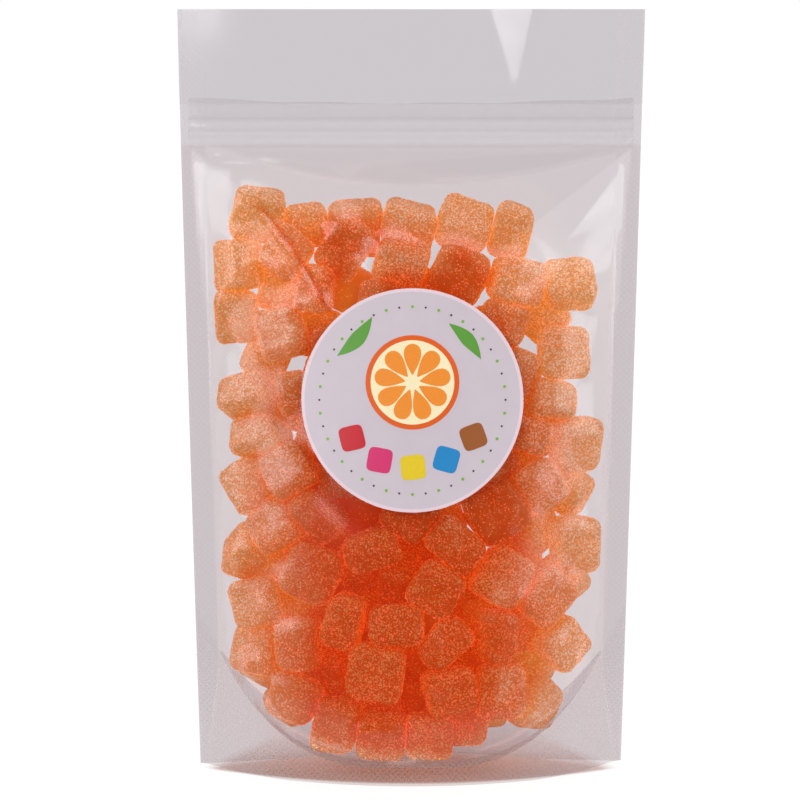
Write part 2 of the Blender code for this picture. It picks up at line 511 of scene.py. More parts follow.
@dataclass(frozen=True)
class SugaredJelly:
    """A pectin jelly sweet, starch-moulded and tumbled in sugar.

    The jelly lets light through, so that a lone sweet glows pale orange and a heap of them deepens to red
    orange. The colours paint part of that: they are painted deeper where sweets lie one behind another, as
    painted shade. The sugar lies on it as fine pale specks in uneven drifts, which turns a face peach.
    """

    # Each colour has a twin in the heap's painted shade, deeper where sweets lie one behind another.
    body: str = "F0A25C"
    body_in_painted_shade: str = "E65C00"
    glow: str = "DEAE68"
    glow_in_painted_shade: str = "C86600"
    crust: str = "F6EAD4"
    crust_in_painted_shade: str = "F0AC62"
    passed: tuple[float, ...] = (0.96, 0.85, 0.40, 1.0)
    speck_mm: float = 0.90
    fine_speck_mm: float = 0.55
    drift_mm: float = 5.0
    see_through: float = 0.14
    glow_share: float = 0.46
    lit_sugar_share: float = 0.4

    def crystals(self, nodes: Wiring, place: Socket) -> Socket:
        """Scatter crystals: each cell of two patterns is one, as bright at its middle as its chance has it."""
        points = []
        for spacing, power in ((self.speck_mm, 0.7), (self.fine_speck_mm, 1.6)):
            scale = {"Scale": 1 / (spacing * MM)}
            cells = add_node(nodes.tree, "ShaderNodeTexVoronoi", scale, {"Vector": place})
            glint = nodes.math("POWER", nodes.add("SeparateColor", {0: cells.outputs["Color"]}), power)
            points.append(nodes.math("MULTIPLY", glint, nodes.ramp(cells.outputs["Distance"], 0.46, 0.32)))
        return nodes.math("MAXIMUM", *points)

    def build(self) -> bpy.types.Material:
        """Make the material."""
        material, nodes = new_material("sugared_jelly")
        place = nodes.place()
        deep = nodes.stored("deep")
        crystal = self.crystals(nodes, place)
        share = nodes.math("MULTIPLY_ADD", crystal, 1.8, 0.06)
        cover = nodes.math("ADD", nodes.noise(place, self.drift_mm * MM, 4.0, 0.6), nodes.stored("frost"))
        # Less sugar shows where the heap's painted shade is deep.
        cover = nodes.ramp(nodes.math("MULTIPLY_ADD", deep, -0.24, cover), 0.52, 1.16, 0.05)
        sugar = nodes.math("MULTIPLY", share, cover, clamp=True)
        bump = nodes.bump(nodes.math("ADD", crystal, nodes.noise(place, 0.35 * MM, 2.0, 0.7)), 0.5, 0.2 * MM)
        # Painted shade: a sweet with others behind it would be lit less from behind, and what light there is
        # comes out deeper, so its colours are painted deeper.
        body = nodes.blend(deep, hex_colour(self.body), hex_colour(self.body_in_painted_shade))
        glow = nodes.blend(deep, hex_colour(self.glow), hex_colour(self.glow_in_painted_shade))
        crust = nodes.blend(deep, hex_colour(self.crust), hex_colour(self.crust_in_painted_shade))
        skin = nodes.principled(body, 0.45, 1.45, bump, 0.12)
        jelly = nodes.mix(self.glow_share, skin, nodes.add("BsdfTranslucent", {"Color": glow, "Normal": bump}))
        through = nodes.add("BsdfTransparent", {"Color": self.passed})
        jelly = nodes.mix(self.see_through, jelly, through)
        lit_sugar = nodes.add("BsdfTranslucent", {"Color": crust, "Normal": bump})
        coat = nodes.mix(self.lit_sugar_share, nodes.principled(crust, 0.34, 1.54, bump, 0.3), lit_sugar)
        # Light that a sweet lets pass reaches the next one coloured, which deepens the heap's inside.
        nodes.finish(nodes.mix(nodes.shadow_ray(), nodes.mix(sugar, jelly, coat), through))
        return material


@dataclass(frozen=True)
class SugarCrystal:
    """Loose granulated sugar: clear crystals that read as white points and catch the light."""

    colour: str = "FFF0E0"
    over_pale: str = "FFD2A0"
    over_painted_shade: str = "FF9446"
    roughness: float = 0.18
    passed: tuple[float, ...] = (0.97, 0.93, 0.90, 1.0)

    def build(self) -> bpy.types.Material:
        """Make the material."""
        material, nodes = new_material("granulated_sugar")
        deep = nodes.stored("deep")
        # A clear crystal takes up the colour of the jelly that it lies on, painted deeper in the heap's painted
        # shade.
        under = nodes.blend(deep, hex_colour(self.over_pale), hex_colour(self.over_painted_shade))
        white = nodes.ramp(nodes.noise(nodes.place(), 0.8 * MM, 1.0), 0.42, 0.62)
        # The crystals' white is painted down in the heap's painted shade.
        pale = nodes.math("MULTIPLY", white, nodes.math("MULTIPLY_ADD", deep, -0.8, 1.0))
        face = nodes.principled(nodes.blend(pale, under, hex_colour(self.colour)), self.roughness, 1.54)
        both = nodes.mix(0.35, face, nodes.add("BsdfTranslucent", {"Color": under}))
        clear = nodes.add("BsdfTransparent", {"Color": self.passed})
        nodes.finish(nodes.mix(nodes.shadow_ray(), both, clear))
        return material


@dataclass(frozen=True)
class ClearFilm:
    """Laminated polyester and polyethylene film, cast smooth and about 0.1 mm thick.

    It greys what is behind it a little, mirrors the lights softly, and turns milky where it is welded or
    creased. Its tint over the sweets is painted: warmer for their light, lighter in painted highlights and
    darker in painted shade, and the milk along the creases is partly a painted highlight.
    """

    header_tint: tuple[float, ...] = (0.807, 0.784, 0.801, 1.0)
    # Painted light: below the header the tint is painted darker and warmer, for the sweets' light on the film.
    tint: tuple[float, ...] = (0.752, 0.713, 0.728, 1.0)
    sheer_tint: tuple[float, ...] = (0.930, 0.905, 0.920, 1.0)
    painted_shade_tint: tuple[float, ...] = (0.880, 0.520, 0.300, 1.0)
    header_from: float = 0.2190
    header_full: float = 0.2205
    haze: float = 0.001
    haze_colour: str = "F4EEF2"
    roughness: float = 0.18
    mirror: float = 0.034
    knurl_mm: float = 1.5

    def build(self) -> bpy.types.Material:
        """Make the material."""
        material, nodes = new_material("clear_film")
        place = nodes.place()
        # The bar that welds the bottom leaves a fine slanting criss-cross in the film.
        slant = nodes.add("Mapping", {"Vector": place, "Rotation": (0.0, math.radians(45), 0.0)})
        wave = {"Vector": slant, "Scale": 1 / (self.knurl_mm * MM) * 0.32, "Distortion": 0.4}
        lines = [nodes.add("TexWave", wave, "Fac", wave_type="BANDS", bands_direction=way) for way in "XZ"]
        pressed = nodes.math("MULTIPLY", nodes.math("MAXIMUM", *lines), nodes.stored("weld"))
        soft = nodes.bump(nodes.noise(place, 16 * MM, 2.5, 0.45), 0.12, 1.0 * MM)
        bump = nodes.bump(pressed, 0.35, 0.10 * MM, soft)
        # Painted light: below the header the film is painted a warmer tone for the sweets' light, and painted
        # lighter or darker by region for highlights and shade.
        header = nodes.ramp(nodes.part(place, "Z"), self.header_from, self.header_full)
        passed = nodes.blend(nodes.stored("sheer"), self.tint, self.sheer_tint)
        passed = nodes.blend(header, passed, self.header_tint)
        # Painted shade: along some creases and at the welded foot the passed light is painted darker and orange.
        passed = nodes.blend(nodes.stored("fold"), passed, self.painted_shade_tint, "MULTIPLY")
        gloss = nodes.add("BsdfAnisotropic", {"Color": WHITE, "Roughness": self.roughness, "Normal": bump})
        clear = nodes.add("BsdfTransparent", {"Color": passed})
        film = nodes.mix(nodes.aslant(bump, 4.5, 0.80, self.mirror), clear, gloss)
        haze = {"Color": hex_colour(self.haze_colour)}
        milk = nodes.mix(0.5, nodes.add("BsdfDiffuse", haze), nodes.add("BsdfTranslucent", haze))
        # The milk along creases is partly crease whitening and partly a painted highlight.
        creased = nodes.math("MULTIPLY_ADD", nodes.stored("crease"), 0.45, self.haze)
        nodes.finish(nodes.mix(nodes.math("MULTIPLY_ADD", pressed, 0.10, creased), film, milk))
        return material


@dataclass(frozen=True)
class StripPlastic:
    """Extruded low-density polyethylene of the press-to-close strip: clear, a little milky, drawn in fine lines.

    passed lists how much light it lets pass at each height: painted shade in darker lines at the ridge and
    rib, and a painted glow where it passes a little more light than reaches it.
    """

    milk: float = 0.012
    milk_colour: str = "F2ECF0"
    roughness: float = 0.16
    line_mm: float = 0.9
    low: float = 0.2190
    high: float = 0.2345
    passed: tuple[tuple[float, float], ...] = (
        (0.2190, 1.012),
        (0.2202, 1.012),
        (0.2236, 1.006),
        (0.2243, 1.000),
        (0.2249, 0.984),
        (0.2256, 1.000),
        (0.2272, 1.012),
        (0.2280, 0.992),
        (0.2287, 0.950),
        (0.2296, 0.978),
        (0.2312, 0.990),
        (0.2336, 0.990),
        (0.2342, 0.975),
    )

    def build(self) -> bpy.types.Material:
        """Make the material."""
        material, nodes = new_material("strip_plastic")
        place = nodes.place()
        drawn = nodes.add("Mapping", {"Vector": place, "Scale": (0.02, 1.0, 1.0)})
        bump = nodes.bump(nodes.noise(drawn, self.line_mm * MM, 2.0), 0.4, 0.15 * MM)
        # Painted shade: the ridge, the rib and their guide lines each pass a little less light than the band
        # does, as painted dark lines, and the band's own share is a little over one, a painted glow.
        level = nodes.ramp(nodes.part(place, "Z"), self.low, self.high)
        profile = add_node(nodes.tree, "ShaderNodeValToRGB", links={0: level})
        stops = profile.color_ramp.elements
        while len(stops) < len(self.passed):
            stops.new(1.0)
        for stop, (z, share) in zip(stops, self.passed):
            stop.position = (z - self.low) / (self.high - self.low)
            stop.color = (share, share * 0.993, share * 0.995, 1.0)
        clear = nodes.add("BsdfTransparent", {"Color": profile.outputs[0]})
        gloss = nodes.add("BsdfAnisotropic", {"Roughness": self.roughness, "Normal": bump})
        body = nodes.mix(nodes.aslant(bump, 3.5, 0.55, 0.035), clear, gloss)
        milk = nodes.add("BsdfDiffuse", {"Color": hex_colour(self.milk_colour)})
        nodes.finish(nodes.mix(self.milk, body, milk))
        return material


@dataclass(frozen=True)
class LabelPaper:
    """Semi-gloss coated sticker paper, die-cut: a cool white with a faint fibre mottle and a soft sheen."""

    name: str = "label_paper"
    colour: str = "CCC0C9"
    shade: str = "C4B8C1"
    roughness: float = 0.36

    def build(self) -> bpy.types.Material:
        """Make the material."""
        material, nodes = new_material(self.name)
        place = nodes.place()
        mottle = nodes.noise(place, 9 * MM, 5.0, 0.6)
        colour = nodes.blend(mottle, hex_colour(self.shade), hex_colour(self.colour))
        bump = nodes.bump(nodes.noise(place, 0.5 * MM, 2.0), 0.08, 0.05 * MM)
        nodes.finish(nodes.principled(colour, self.roughness, 1.5, bump))
        return material


@dataclass(frozen=True)
class PrintInk:
    """Flexographic ink on the sticker: flat colour with a faint screen grain."""

    name: str
    colour: str
    roughness: float = 0.33

    def build(self) -> bpy.types.Material:
        """Make the material."""
        material, nodes = new_material(f"ink_{self.name}")
        shift = nodes.ramp(nodes.noise(nodes.place(), 0.6 * MM, 3.0), 0.0, 1.0, 0.90, 1.06)
        colour = nodes.add("HueSaturation", {"Color": hex_colour(self.colour), "Value": shift})
        nodes.finish(nodes.principled(colour, self.roughness, 1.5))
        return material


@dataclass(frozen=True)
class StudioPaper:
    """The seamless white paper that the pouch stands on, lit from below too, so that it stays white.

    Under the pouch itself no light comes from below, and the paper there is painted in the sweets' colour and
    hardly glows: a painted shadow, tinted for their light.
    """

    colour: str = "505050"
    shade: str = "4D4D4D"
    # The paper's painted colour under the pouch, for the sweets' light and shade there.
    under: str = "E0D6D5"
    shine: float = 0.92
    far_shine: float = 0.97
    shine_in_painted_shadow: float = 0.03
    reach: float = 0.8
    foot_width: float = 0.0728
    foot_depth: float = 0.0218
    foot_back: float = 0.065
    narrowing: float = 0.45

    def shade_under_pouch(self, nodes: Wiring, x: Socket, y: Socket) -> Socket:
        """Mark the paper under the pouch, whose foot bows forward in front and fades out behind."""
        aside = nodes.math("ABSOLUTE", x)
        bowed = -self.foot_depth / self.foot_width**2
        front = nodes.math("MULTIPLY_ADD", nodes.math("POWER", aside, 2.0), bowed, y)
        beside = nodes.math("MULTIPLY_ADD", nodes.math("MAXIMUM", y, 0.0), self.narrowing, aside)
        from_front = nodes.ramp(front, -self.foot_depth, 0.003 - self.foot_depth)
        from_side = nodes.ramp(beside, self.foot_width + 0.002, self.foot_width - 0.005)
        within = nodes.math("MULTIPLY", from_front, from_side)
        return nodes.math("MULTIPLY", within, nodes.ramp(y, self.foot_back, 0.015))

    def build(self) -> bpy.types.Material:
        """Make the material."""
        material, nodes = new_material("studio_paper")
        place = nodes.place()
        y = nodes.part(place, "Y")
        shade_under_pouch = self.shade_under_pouch(nodes, nodes.part(place, "X"), y)
        colour = nodes.blend(nodes.noise(place, 1 / 3.0, 2.0), hex_colour(self.shade), hex_colour(self.colour))
        # Painted shadow: under the pouch the paper is painted in the sweets' pinkish colour, for their light and
        # shade.
        colour = nodes.blend(shade_under_pouch, colour, hex_colour(self.under))
        # Painted shade: the paper is painted darker from a little behind the pouch's middle forwards. It tells
        # under the pouch, between the two feet of the film, where the paper lies in their shade.
        shaded = nodes.ramp(y, -0.004, 0.012, 0.80, 1.0)
        colour = nodes.add("VectorMath", {0: colour, "Scale": shaded}, operation="SCALE")
        # The lights reach less far than the paper does, and its own light makes up for that.
        away = nodes.add("VectorMath", {0: place, 1: place}, "Value", operation="DOT_PRODUCT")
        spread = nodes.math("MULTIPLY_ADD", away, 1 / self.reach**2, 1.0)
        level = nodes.math("SUBTRACT", self.far_shine, nodes.math("DIVIDE", self.far_shine - self.shine, spread))
        # Painted shadow: under the pouch the paper hardly glows.
        kept = nodes.add("Mix", {0: shade_under_pouch, 2: level, 3: self.shine_in_painted_shadow}, data_type="FLOAT")
        shine = nodes.add("Emission", {"Color": WHITE, "Strength": kept})
        nodes.finish(nodes.add("AddShader", {0: nodes.principled(colour, 0.9, 1.3), 1: shine}))
        return material


# ---------------------------------------------------------------------------------------------------------------
# The sweets


class Facing(Enum):
    """Which way a sweet lies: its square face to the front, flat with its thin side to the front, or on edge."""

    FACE = "face"
    FLAT = "flat"
    EDGE = "edge"


@dataclass(frozen=True)
class SeenSweet:
    """One sweet that shows through the front: where its middle is in the photograph, how large and which way.

    px and py, wide and high are in pixels. turn is in degrees, clockwise. layer is 0 against the film, 1 just
    behind it and 2 deeper. frost is how much sugar it carries, from 0 to 1.
    """

    px: float
    py: float
    wide: float
    high: float
    turn: float = 0.0
    facing: Facing = Facing.FACE
    layer: int = 0
    frost: float = 0.45


SEEN_SWEETS = (
    SeenSweet(260, 220, 52, 54, -5, frost=0.35),
    SeenSweet(304, 222, 42, 40, -6, layer=1),
    SeenSweet(347, 226, 54, 56, 4, layer=1, frost=0.25),
    SeenSweet(283, 250, 44, 50, 6, frost=0.4),
    SeenSweet(340, 252, 60, 46, -15, frost=0.5),
    SeenSweet(402, 256, 54, 40, 3, Facing.FLAT, frost=0.75),
    SeenSweet(406, 231, 54, 42, 2, Facing.FLAT, 1, frost=0.5),
    SeenSweet(243, 274, 46, 52, 12),
    SeenSweet(275, 285, 44, 50, -8, layer=1),
    SeenSweet(312, 292, 34, 48, -12, Facing.EDGE, frost=0.5),
    SeenSweet(237, 328, 44, 52, 4, frost=0.35),
    SeenSweet(280, 345, 50, 55, 6),
    SeenSweet(320, 345, 42, 48, -10, layer=1),
    SeenSweet(345, 285, 50, 50, 20, layer=2, frost=0.1),
    SeenSweet(388, 300, 50, 50, 10, frost=0.3),
    SeenSweet(467, 236, 54, 50, 2, frost=0.5),
    SeenSweet(508, 243, 40, 56, 4, Facing.EDGE, 1, frost=0.35),
    SeenSweet(460, 280, 56, 56, 1, frost=0.3),
    SeenSweet(517, 293, 54, 46, 8, frost=0.5),
    SeenSweet(563, 285, 54, 54, 18, frost=0.4),
    SeenSweet(505, 325, 48, 44, -6),
    SeenSweet(548, 318, 48, 46, 10, layer=1),
    SeenSweet(560, 355, 52, 54, -6, frost=0.55),
    SeenSweet(512, 372, 34, 56, 6, Facing.EDGE),
    SeenSweet(542, 398, 48, 40, 4, Facing.FLAT),
    SeenSweet(252, 396, 52, 40, 40, Facing.FLAT),
    SeenSweet(255, 368, 44, 44, 15, layer=1),
    SeenSweet(288, 393, 36, 46, 8, Facing.EDGE),
    SeenSweet(270, 430, 58, 54, 30, frost=0.5),
    SeenSweet(308, 430, 50, 50, 12, layer=1),
    SeenSweet(287, 462, 50, 50, 20, frost=0.55),
    SeenSweet(252, 478, 44, 52, 5, frost=0.5),
    SeenSweet(308, 497, 38, 58, -20, Facing.EDGE, frost=0.4),
    SeenSweet(268, 512, 50, 50, -14),
    SeenSweet(290, 535, 48, 42, 10, layer=1),
    SeenSweet(247, 553, 47, 47, 45, frost=0.35),
    SeenSweet(312, 565, 56, 58, 35, frost=0.5),
    SeenSweet(285, 402, 48, 48, 15, layer=2),
    SeenSweet(530, 655, 48, 48, 10, layer=2),
    SeenSweet(470, 605, 48, 48, 12, layer=2),
    SeenSweet(518, 548, 46, 46, 20, layer=2),
    SeenSweet(350, 500, 50, 50, 25, layer=2, frost=0.1),
    SeenSweet(372, 545, 58, 40, -15, Facing.FLAT, frost=0.5),
    SeenSweet(522, 432, 44, 38, 6, Facing.FLAT, frost=0.5),
    SeenSweet(575, 443, 55, 56, 3, frost=0.5),
    SeenSweet(540, 478, 46, 50, -20, frost=0.5),
    SeenSweet(565, 490, 44, 48, 12, layer=1),
    SeenSweet(495, 505, 58, 58, 35, frost=0.3),
    SeenSweet(530, 470, 48, 48, 0, layer=1),
    SeenSweet(540, 528, 46, 46, 18, layer=1),
    SeenSweet(575, 548, 48, 58, 40, frost=0.4),
    SeenSweet(455, 540, 58, 42, -10, Facing.FLAT, frost=0.55),
    SeenSweet(502, 572, 54, 56, 8, frost=0.95),
    SeenSweet(438, 582, 50, 52, 4, frost=0.55),
    SeenSweet(400, 578, 38, 50, 2, Facing.EDGE, 1),
    SeenSweet(550, 590, 48, 58, 20, frost=0.4),
    SeenSweet(258, 597, 56, 50, -12, frost=0.5),
    SeenSweet(343, 620, 38, 56, 3, Facing.EDGE, frost=0.7),
    SeenSweet(260, 645, 52, 50, 30, frost=0.4),
    SeenSweet(292, 643, 44, 54, -10, frost=0.5),
    SeenSweet(377, 670, 58, 58, 10, frost=0.75),
    SeenSweet(325, 672, 42, 48, 6, layer=1),
    SeenSweet(300, 695, 52, 48, 40, frost=0.4),
    SeenSweet(337, 725, 46, 54, 6, frost=0.5),
    SeenSweet(378, 708, 46, 44, -8, layer=1),
    SeenSweet(385, 735, 50, 44, 6),
    SeenSweet(400, 625, 56, 42, -10, Facing.FLAT, frost=0.6),
    SeenSweet(445, 645, 58, 40, -25, Facing.FLAT, frost=0.6),
    SeenSweet(497, 632, 36, 54, 25, Facing.EDGE, frost=0.55),
    SeenSweet(525, 625, 46, 50, 6, layer=1),
    SeenSweet(558, 640, 47, 47, 40, frost=0.45),
    SeenSweet(500, 690, 50, 58, 15, frost=0.6),
    SeenSweet(450, 690, 52, 46, 25, frost=0.6),
    SeenSweet(418, 735, 48, 44, -6, frost=0.55),
    SeenSweet(462, 722, 48, 46, 12, layer=1, frost=0.5),
    SeenSweet(470, 665, 44, 46, 0, layer=2),
    SeenSweet(336, 528, 50, 50, 15, layer=2),
    SeenSweet(362, 612, 50, 50, -8, layer=2),
    SeenSweet(404, 700, 46, 46, 20, layer=2),
    SeenSweet(414, 542, 50, 50, 5, layer=2),
)


@dataclass(frozen=True)
class HiddenLayer:
    """A layer behind the seen sweets: where it may hold one, and how far askew its sweets lie."""

    depth: int
    least_room: float
    least_gap: float
    askew: float


BACK = 3
HIDDEN_LAYERS = (
    HiddenLayer(BACK, 0.0118, 0.0140, 0.35),
    HiddenLayer(2, 0.0178, 0.0148, 1.3),
)


@dataclass
class Heap:
    """The sweets' places: the seen ones by the photograph, the rest filled in behind, all pressed apart.

    Each sweet is a square tile whose own Y axis is its thin one. While the sweets are pressed apart, twelve
    balls stand for each of them, so that the real ones still share a little room afterwards.
    """

    form: PouchForm
    view: PhotoView
    length: float = 0.0170
    thickness: float = 0.0125
    shortest: float = 0.0152
    longest: float = 0.0198
    thinnest: float = 0.0115
    thickest: float = 0.0142
    swell: float = 0.0010
    top_swell: float = 0.0024
    label_press: float = 0.0006
    corner_share: float = 0.60
    wall_weight: float = 8.0
    side_gap: float = 0.0020
    front_scale: float = 0.978
    layer_step: float = 0.0115
    film_gap: float = 0.0004
    holds_by_layer: tuple[float, ...] = (0.35, 0.20, 0.08)
    loose_hold: float = 0.02
    label_middle: tuple[int, int] = (412, 402)
    label_reach: int = 96
    pitch: float = 0.0172
    row_share: float = 0.94
    first_row: float = 0.009
    heap_top: float = 0.186
    right_drop: float = 0.020
    right_drop_from: float = 0.030
    right_drop_fade: float = 0.025
    pair_reach: float = 0.027
    pair_rounds: int = 12
    push_share: float = 1.25
    spin_share: float = 0.8
    eased_share: float = 0.7
    depth_pull: float = 0.25
    loose_below: float = 0.05
    sink: float = 0.05 * MM
    largest_move: float = 1.2 * MM
    largest_spin: float = 0.08
    arm: float = 0.0085
    table_side: int = 85
    table_below: int = 5
    table_above: int = 230
    seed: int = 23
    rounds: int = 1100
    middles: np.ndarray = field(default_factory=lambda: np.zeros((0, 3)))
    turns: np.ndarray = field(default_factory=lambda: np.zeros((0, 3, 3)))
    halves: np.ndarray = field(default_factory=lambda: np.zeros((0, 3)))
    frosts: np.ndarray = field(default_factory=lambda: np.zeros(0))
    holds: np.ndarray = field(default_factory=lambda: np.zeros(0))
    depths: np.ndarray = field(default_factory=lambda: np.zeros(0, int))

    def add(
        self,
        middle: Vector,
        turn: Matrix,
        half: tuple[float, float, float],
        frost: float,
        hold: float,
        depth: int,
    ) -> None:
        """Add one sweet to the heap.

        Args:
            middle: Its middle.
            turn: Its rotation.
            half: Half its sizes along its own axes.
            frost: How much sugar it carries.
            hold: How firmly it stays where it is put.
            depth: 0 in front, 1 behind that, 2 deeper and 3 at the back.
        """
        self.middles = np.vstack([self.middles, np.array(middle)])
        self.turns = np.concatenate([self.turns, np.array(turn)[None]])
        self.halves = np.vstack([self.halves, half])
        self.frosts = np.append(self.frosts, frost)
        self.holds = np.append(self.holds, hold)
        self.depths = np.append(self.depths, depth)

    def place_seen(self) -> None:
        """Put each seen sweet where its pixel shows it, against the film or behind its neighbours."""
        draw = np.random.default_rng(self.seed)
        scale = self.view.distance * self.front_scale / self.view.focal_pixels
        for seen in SEEN_SWEETS:
            wide, high = seen.wide * scale, seen.high * scale
            if seen.facing is Facing.FACE:
                sizes = (
                    float(np.clip(wide, self.shortest, self.longest)),
                    float(draw.uniform(self.thinnest, self.thickest)),
                    float(np.clip(high, self.shortest, self.longest)),
                )
                lie = Matrix.Identity(3)
                deep = sizes[1]
            else:
                long, thin = (wide, high) if seen.facing is Facing.FLAT else (high, wide)
                sizes = (
                    float(np.clip(long, self.shortest, self.longest)),
                    float(np.clip(thin, self.thinnest, self.thickest)),
                    self.length,
                )
                flat = Matrix.Rotation(math.radians(90), 3, "X")
                lie = flat if seen.facing is Facing.FLAT else Matrix.Rotation(math.radians(90), 3, "Y") @ flat
                deep = sizes[2]
            inward = deep / 2 + seen.layer * self.layer_step + self.film_gap
            middle = self.view.on_front(seen.px, seen.py, self.form, inward)
            tilt = Euler((float(draw.normal(0, 0.10)), 0.0, float(draw.normal(0, 0.12)))).to_matrix()
            turn = self.lean(middle) @ Matrix.Rotation(math.radians(seen.turn), 3, "Y") @ tilt @ lie
            half = tuple(size / 2 for size in sizes)
            self.add(middle, turn, half, seen.frost, self.holds_by_layer[seen.layer], seen.layer)

    def lean(self, middle: Vector) -> Matrix:
        """Turn a front sweet with the film that it lies against."""
        step = 4 * MM
        x = np.array([middle.x - step, middle.x + step, middle.x, middle.x])
        z = np.array([middle.z, middle.z, middle.z - step, middle.z + step])
        out = self.form.bulge(x, z)
        yaw = math.atan((out[1] - out[0]) / (2 * step))
        pitch = math.atan((out[3] - out[2]) / (2 * step))
        side = -1.0 if middle.y < 0 else 1.0
        gentle = 0.75
        return Euler((-side * pitch * gentle, 0.0, side * yaw * gentle)).to_matrix()

    def fill_behind_label(self) -> None:
        """Put sweets where the label hides the front ones."""
        draw = np.random.default_rng(self.seed + 1)
        middle_x, middle_y = self.label_middle
        for row in range(-2, 3):
            for column in range(-2, 3):
                px = middle_x + column * 50 + 25 * (row % 2) + draw.uniform(-5, 5)
                py = middle_y + row * 47 + draw.uniform(-5, 5)
                if math.hypot(px - middle_x, py - middle_y) > self.label_reach:
                    continue
                half = (self.length / 2, self.thickness / 2, self.length / 2)
                middle = self.view.on_front(px, py, self.form, half[1] + 0.001)
                spin = Matrix.Rotation(draw.uniform(0, 1.5), 3, "Y")
                self.add(middle, self.lean(middle) @ spin, half, 0.4, self.loose_hold, 0)

    def fill_behind(self) -> None:
        """Fill the room behind the seen sweets, layer by layer, to the height of the heap."""
        draw = np.random.default_rng(self.seed + 2)
        for layer in HIDDEN_LAYERS:
            for row in range(1, 12):
                for column in range(-4, 5):
                    x = (column + 0.5 * (row % 2)) * self.pitch + draw.uniform(-1.5, 1.5) * MM
                    z = self.first_row + row * self.pitch * self.row_share + draw.uniform(-1.5, 1.5) * MM
                    room = float(self.form.bulge(np.array([x]), np.array([z]))[0])
                    # The heap slopes down to the right, as in the photograph, and a little to both sides.
                    to_right = smooth((x - self.right_drop_from) / self.right_drop_fade)
                    top = self.heap_top - self.right_drop * to_right - 0.004 * abs(x) / 0.06
                    if z > top or room < layer.least_room:
                        continue
                    at_back = layer.depth == BACK
                    y = room - self.thickness / 2 - 0.001 if at_back else draw.uniform(-2, 2) * MM
                    middle = Vector((x, y, z))
                    gaps = np.linalg.norm((self.middles - np.array(middle)) * (1.0, 1.15, 1.0), axis=1)
                    if gaps.min() < layer.least_gap:
                        continue
                    wobble = Euler(tuple(draw.normal(0, layer.askew, 3))).to_matrix()
                    spin = Matrix.Rotation(draw.uniform(0, 1.5), 3, "Y")
                    size = draw.uniform(0.94, 1.06)
                    half = (self.length / 2 * size, self.thickness / 2 * size, self.length / 2 * size)
                    turn = self.lean(middle) @ spin @ wobble
                    frost = float(draw.uniform(0.25, 0.7))
                    self.add(middle, turn, half, frost, self.loose_hold, layer.depth)

    def balls(self) -> tuple[np.ndarray, np.ndarray]:
        """Give each sweet's stand-in balls: eight at its corners and four large ones towards its sides.

        Returns:
            The balls' places on the sweet's own axes and their radii.
        """
        signs = np.array([(a, b, c) for a in (-1, 1) for b in (-1, 1) for c in (-1, 1)], float)
        thin = self.halves[:, 1]
        corner = thin * self.corner_share
        corners = signs[None] * (self.halves - corner[:, None])[:, None, :]
        ways = np.array([(1, 0, 0), (-1, 0, 0), (0, 0, 1), (0, 0, -1)], float)
        sides = ways[None] * (self.halves - thin[:, None])[:, None, :]
        radii = [np.repeat(corner[:, None], len(signs), axis=1), np.repeat(thin[:, None], len(ways), axis=1)]
        return np.concatenate([corners, sides], axis=1), np.concatenate(radii, axis=1)

    def room_tables(self) -> tuple[np.ndarray, np.ndarray, np.ndarray]:
        """Tabulate the film's half depth and its slopes on a 1 mm net, for quick reading.

        Returns:
            The half depth, its slope across and its slope up, each as rows of heights.
        """
        x, z = np.meshgrid(
            np.arange(-self.table_side, self.table_side + 1) * MM,
            np.arange(-self.table_below, self.table_above + 1) * MM,
        )
        from_label = np.hypot(x - self.form.label_x, z - self.form.label_z)
        near = smooth((from_label - self.form.label_radius) / 0.006)
        swell = self.swell + self.top_swell * smooth((z - 0.150) / 0.030)
        depth = self.form.bulge(x, z) + swell * near - self.label_press * (1 - near)
        up, across = np.gradient(depth, MM)
        return depth, across, up

    def walls(
        self, balls: np.ndarray, radii: np.ndarray, tables: tuple[np.ndarray, np.ndarray, np.ndarray]
    ) -> tuple[np.ndarray, np.ndarray]:
        """Say how far the film, the folded bottom and the side seals push each ball back.

        Args:
            balls: The balls' places.
            radii: Their radii.
            tables: The film's half depth and its slopes.

        Returns:
            The way out for each ball, and how often each sweet is touched.
        """
        room, across, up = tables
        column = np.rint(balls[..., 0] / MM).astype(int) + self.table_side
        column = np.clip(column, 0, 2 * self.table_side)
        row = np.rint(balls[..., 2] / MM).astype(int) + self.table_below
        row = np.clip(row, 0, self.table_below + self.table_above)
        slope_x, slope_z = across[row, column], up[row, column]
        norm = np.sqrt(1 + slope_x**2 + slope_z**2)
        out = (np.abs(balls[..., 1]) - room[row, column]) / norm + radii
        out = np.where(out > 0, out, 0.0)
        side = np.sign(balls[..., 1])
        wall = -np.stack([-slope_x, side, -slope_z], axis=-1) * (out / norm)[..., None]
        floor = self.form.gusset(balls[..., 0], balls[..., 1]) + radii - balls[..., 2]
        floor = np.where(floor > 0, floor, 0.0)
        wall[..., 2] += floor
        beside = np.abs(balls[..., 0]) + radii - (self.form.inner_half_width(balls[..., 2]) - self.side_gap)
        beside = np.where(beside > 0, beside, 0.0)
        wall[..., 0] -= np.sign(balls[..., 0]) * beside
        return wall, (out > 0).sum(axis=1) + (floor > 0).sum(axis=1) + (beside > 0).sum(axis=1)

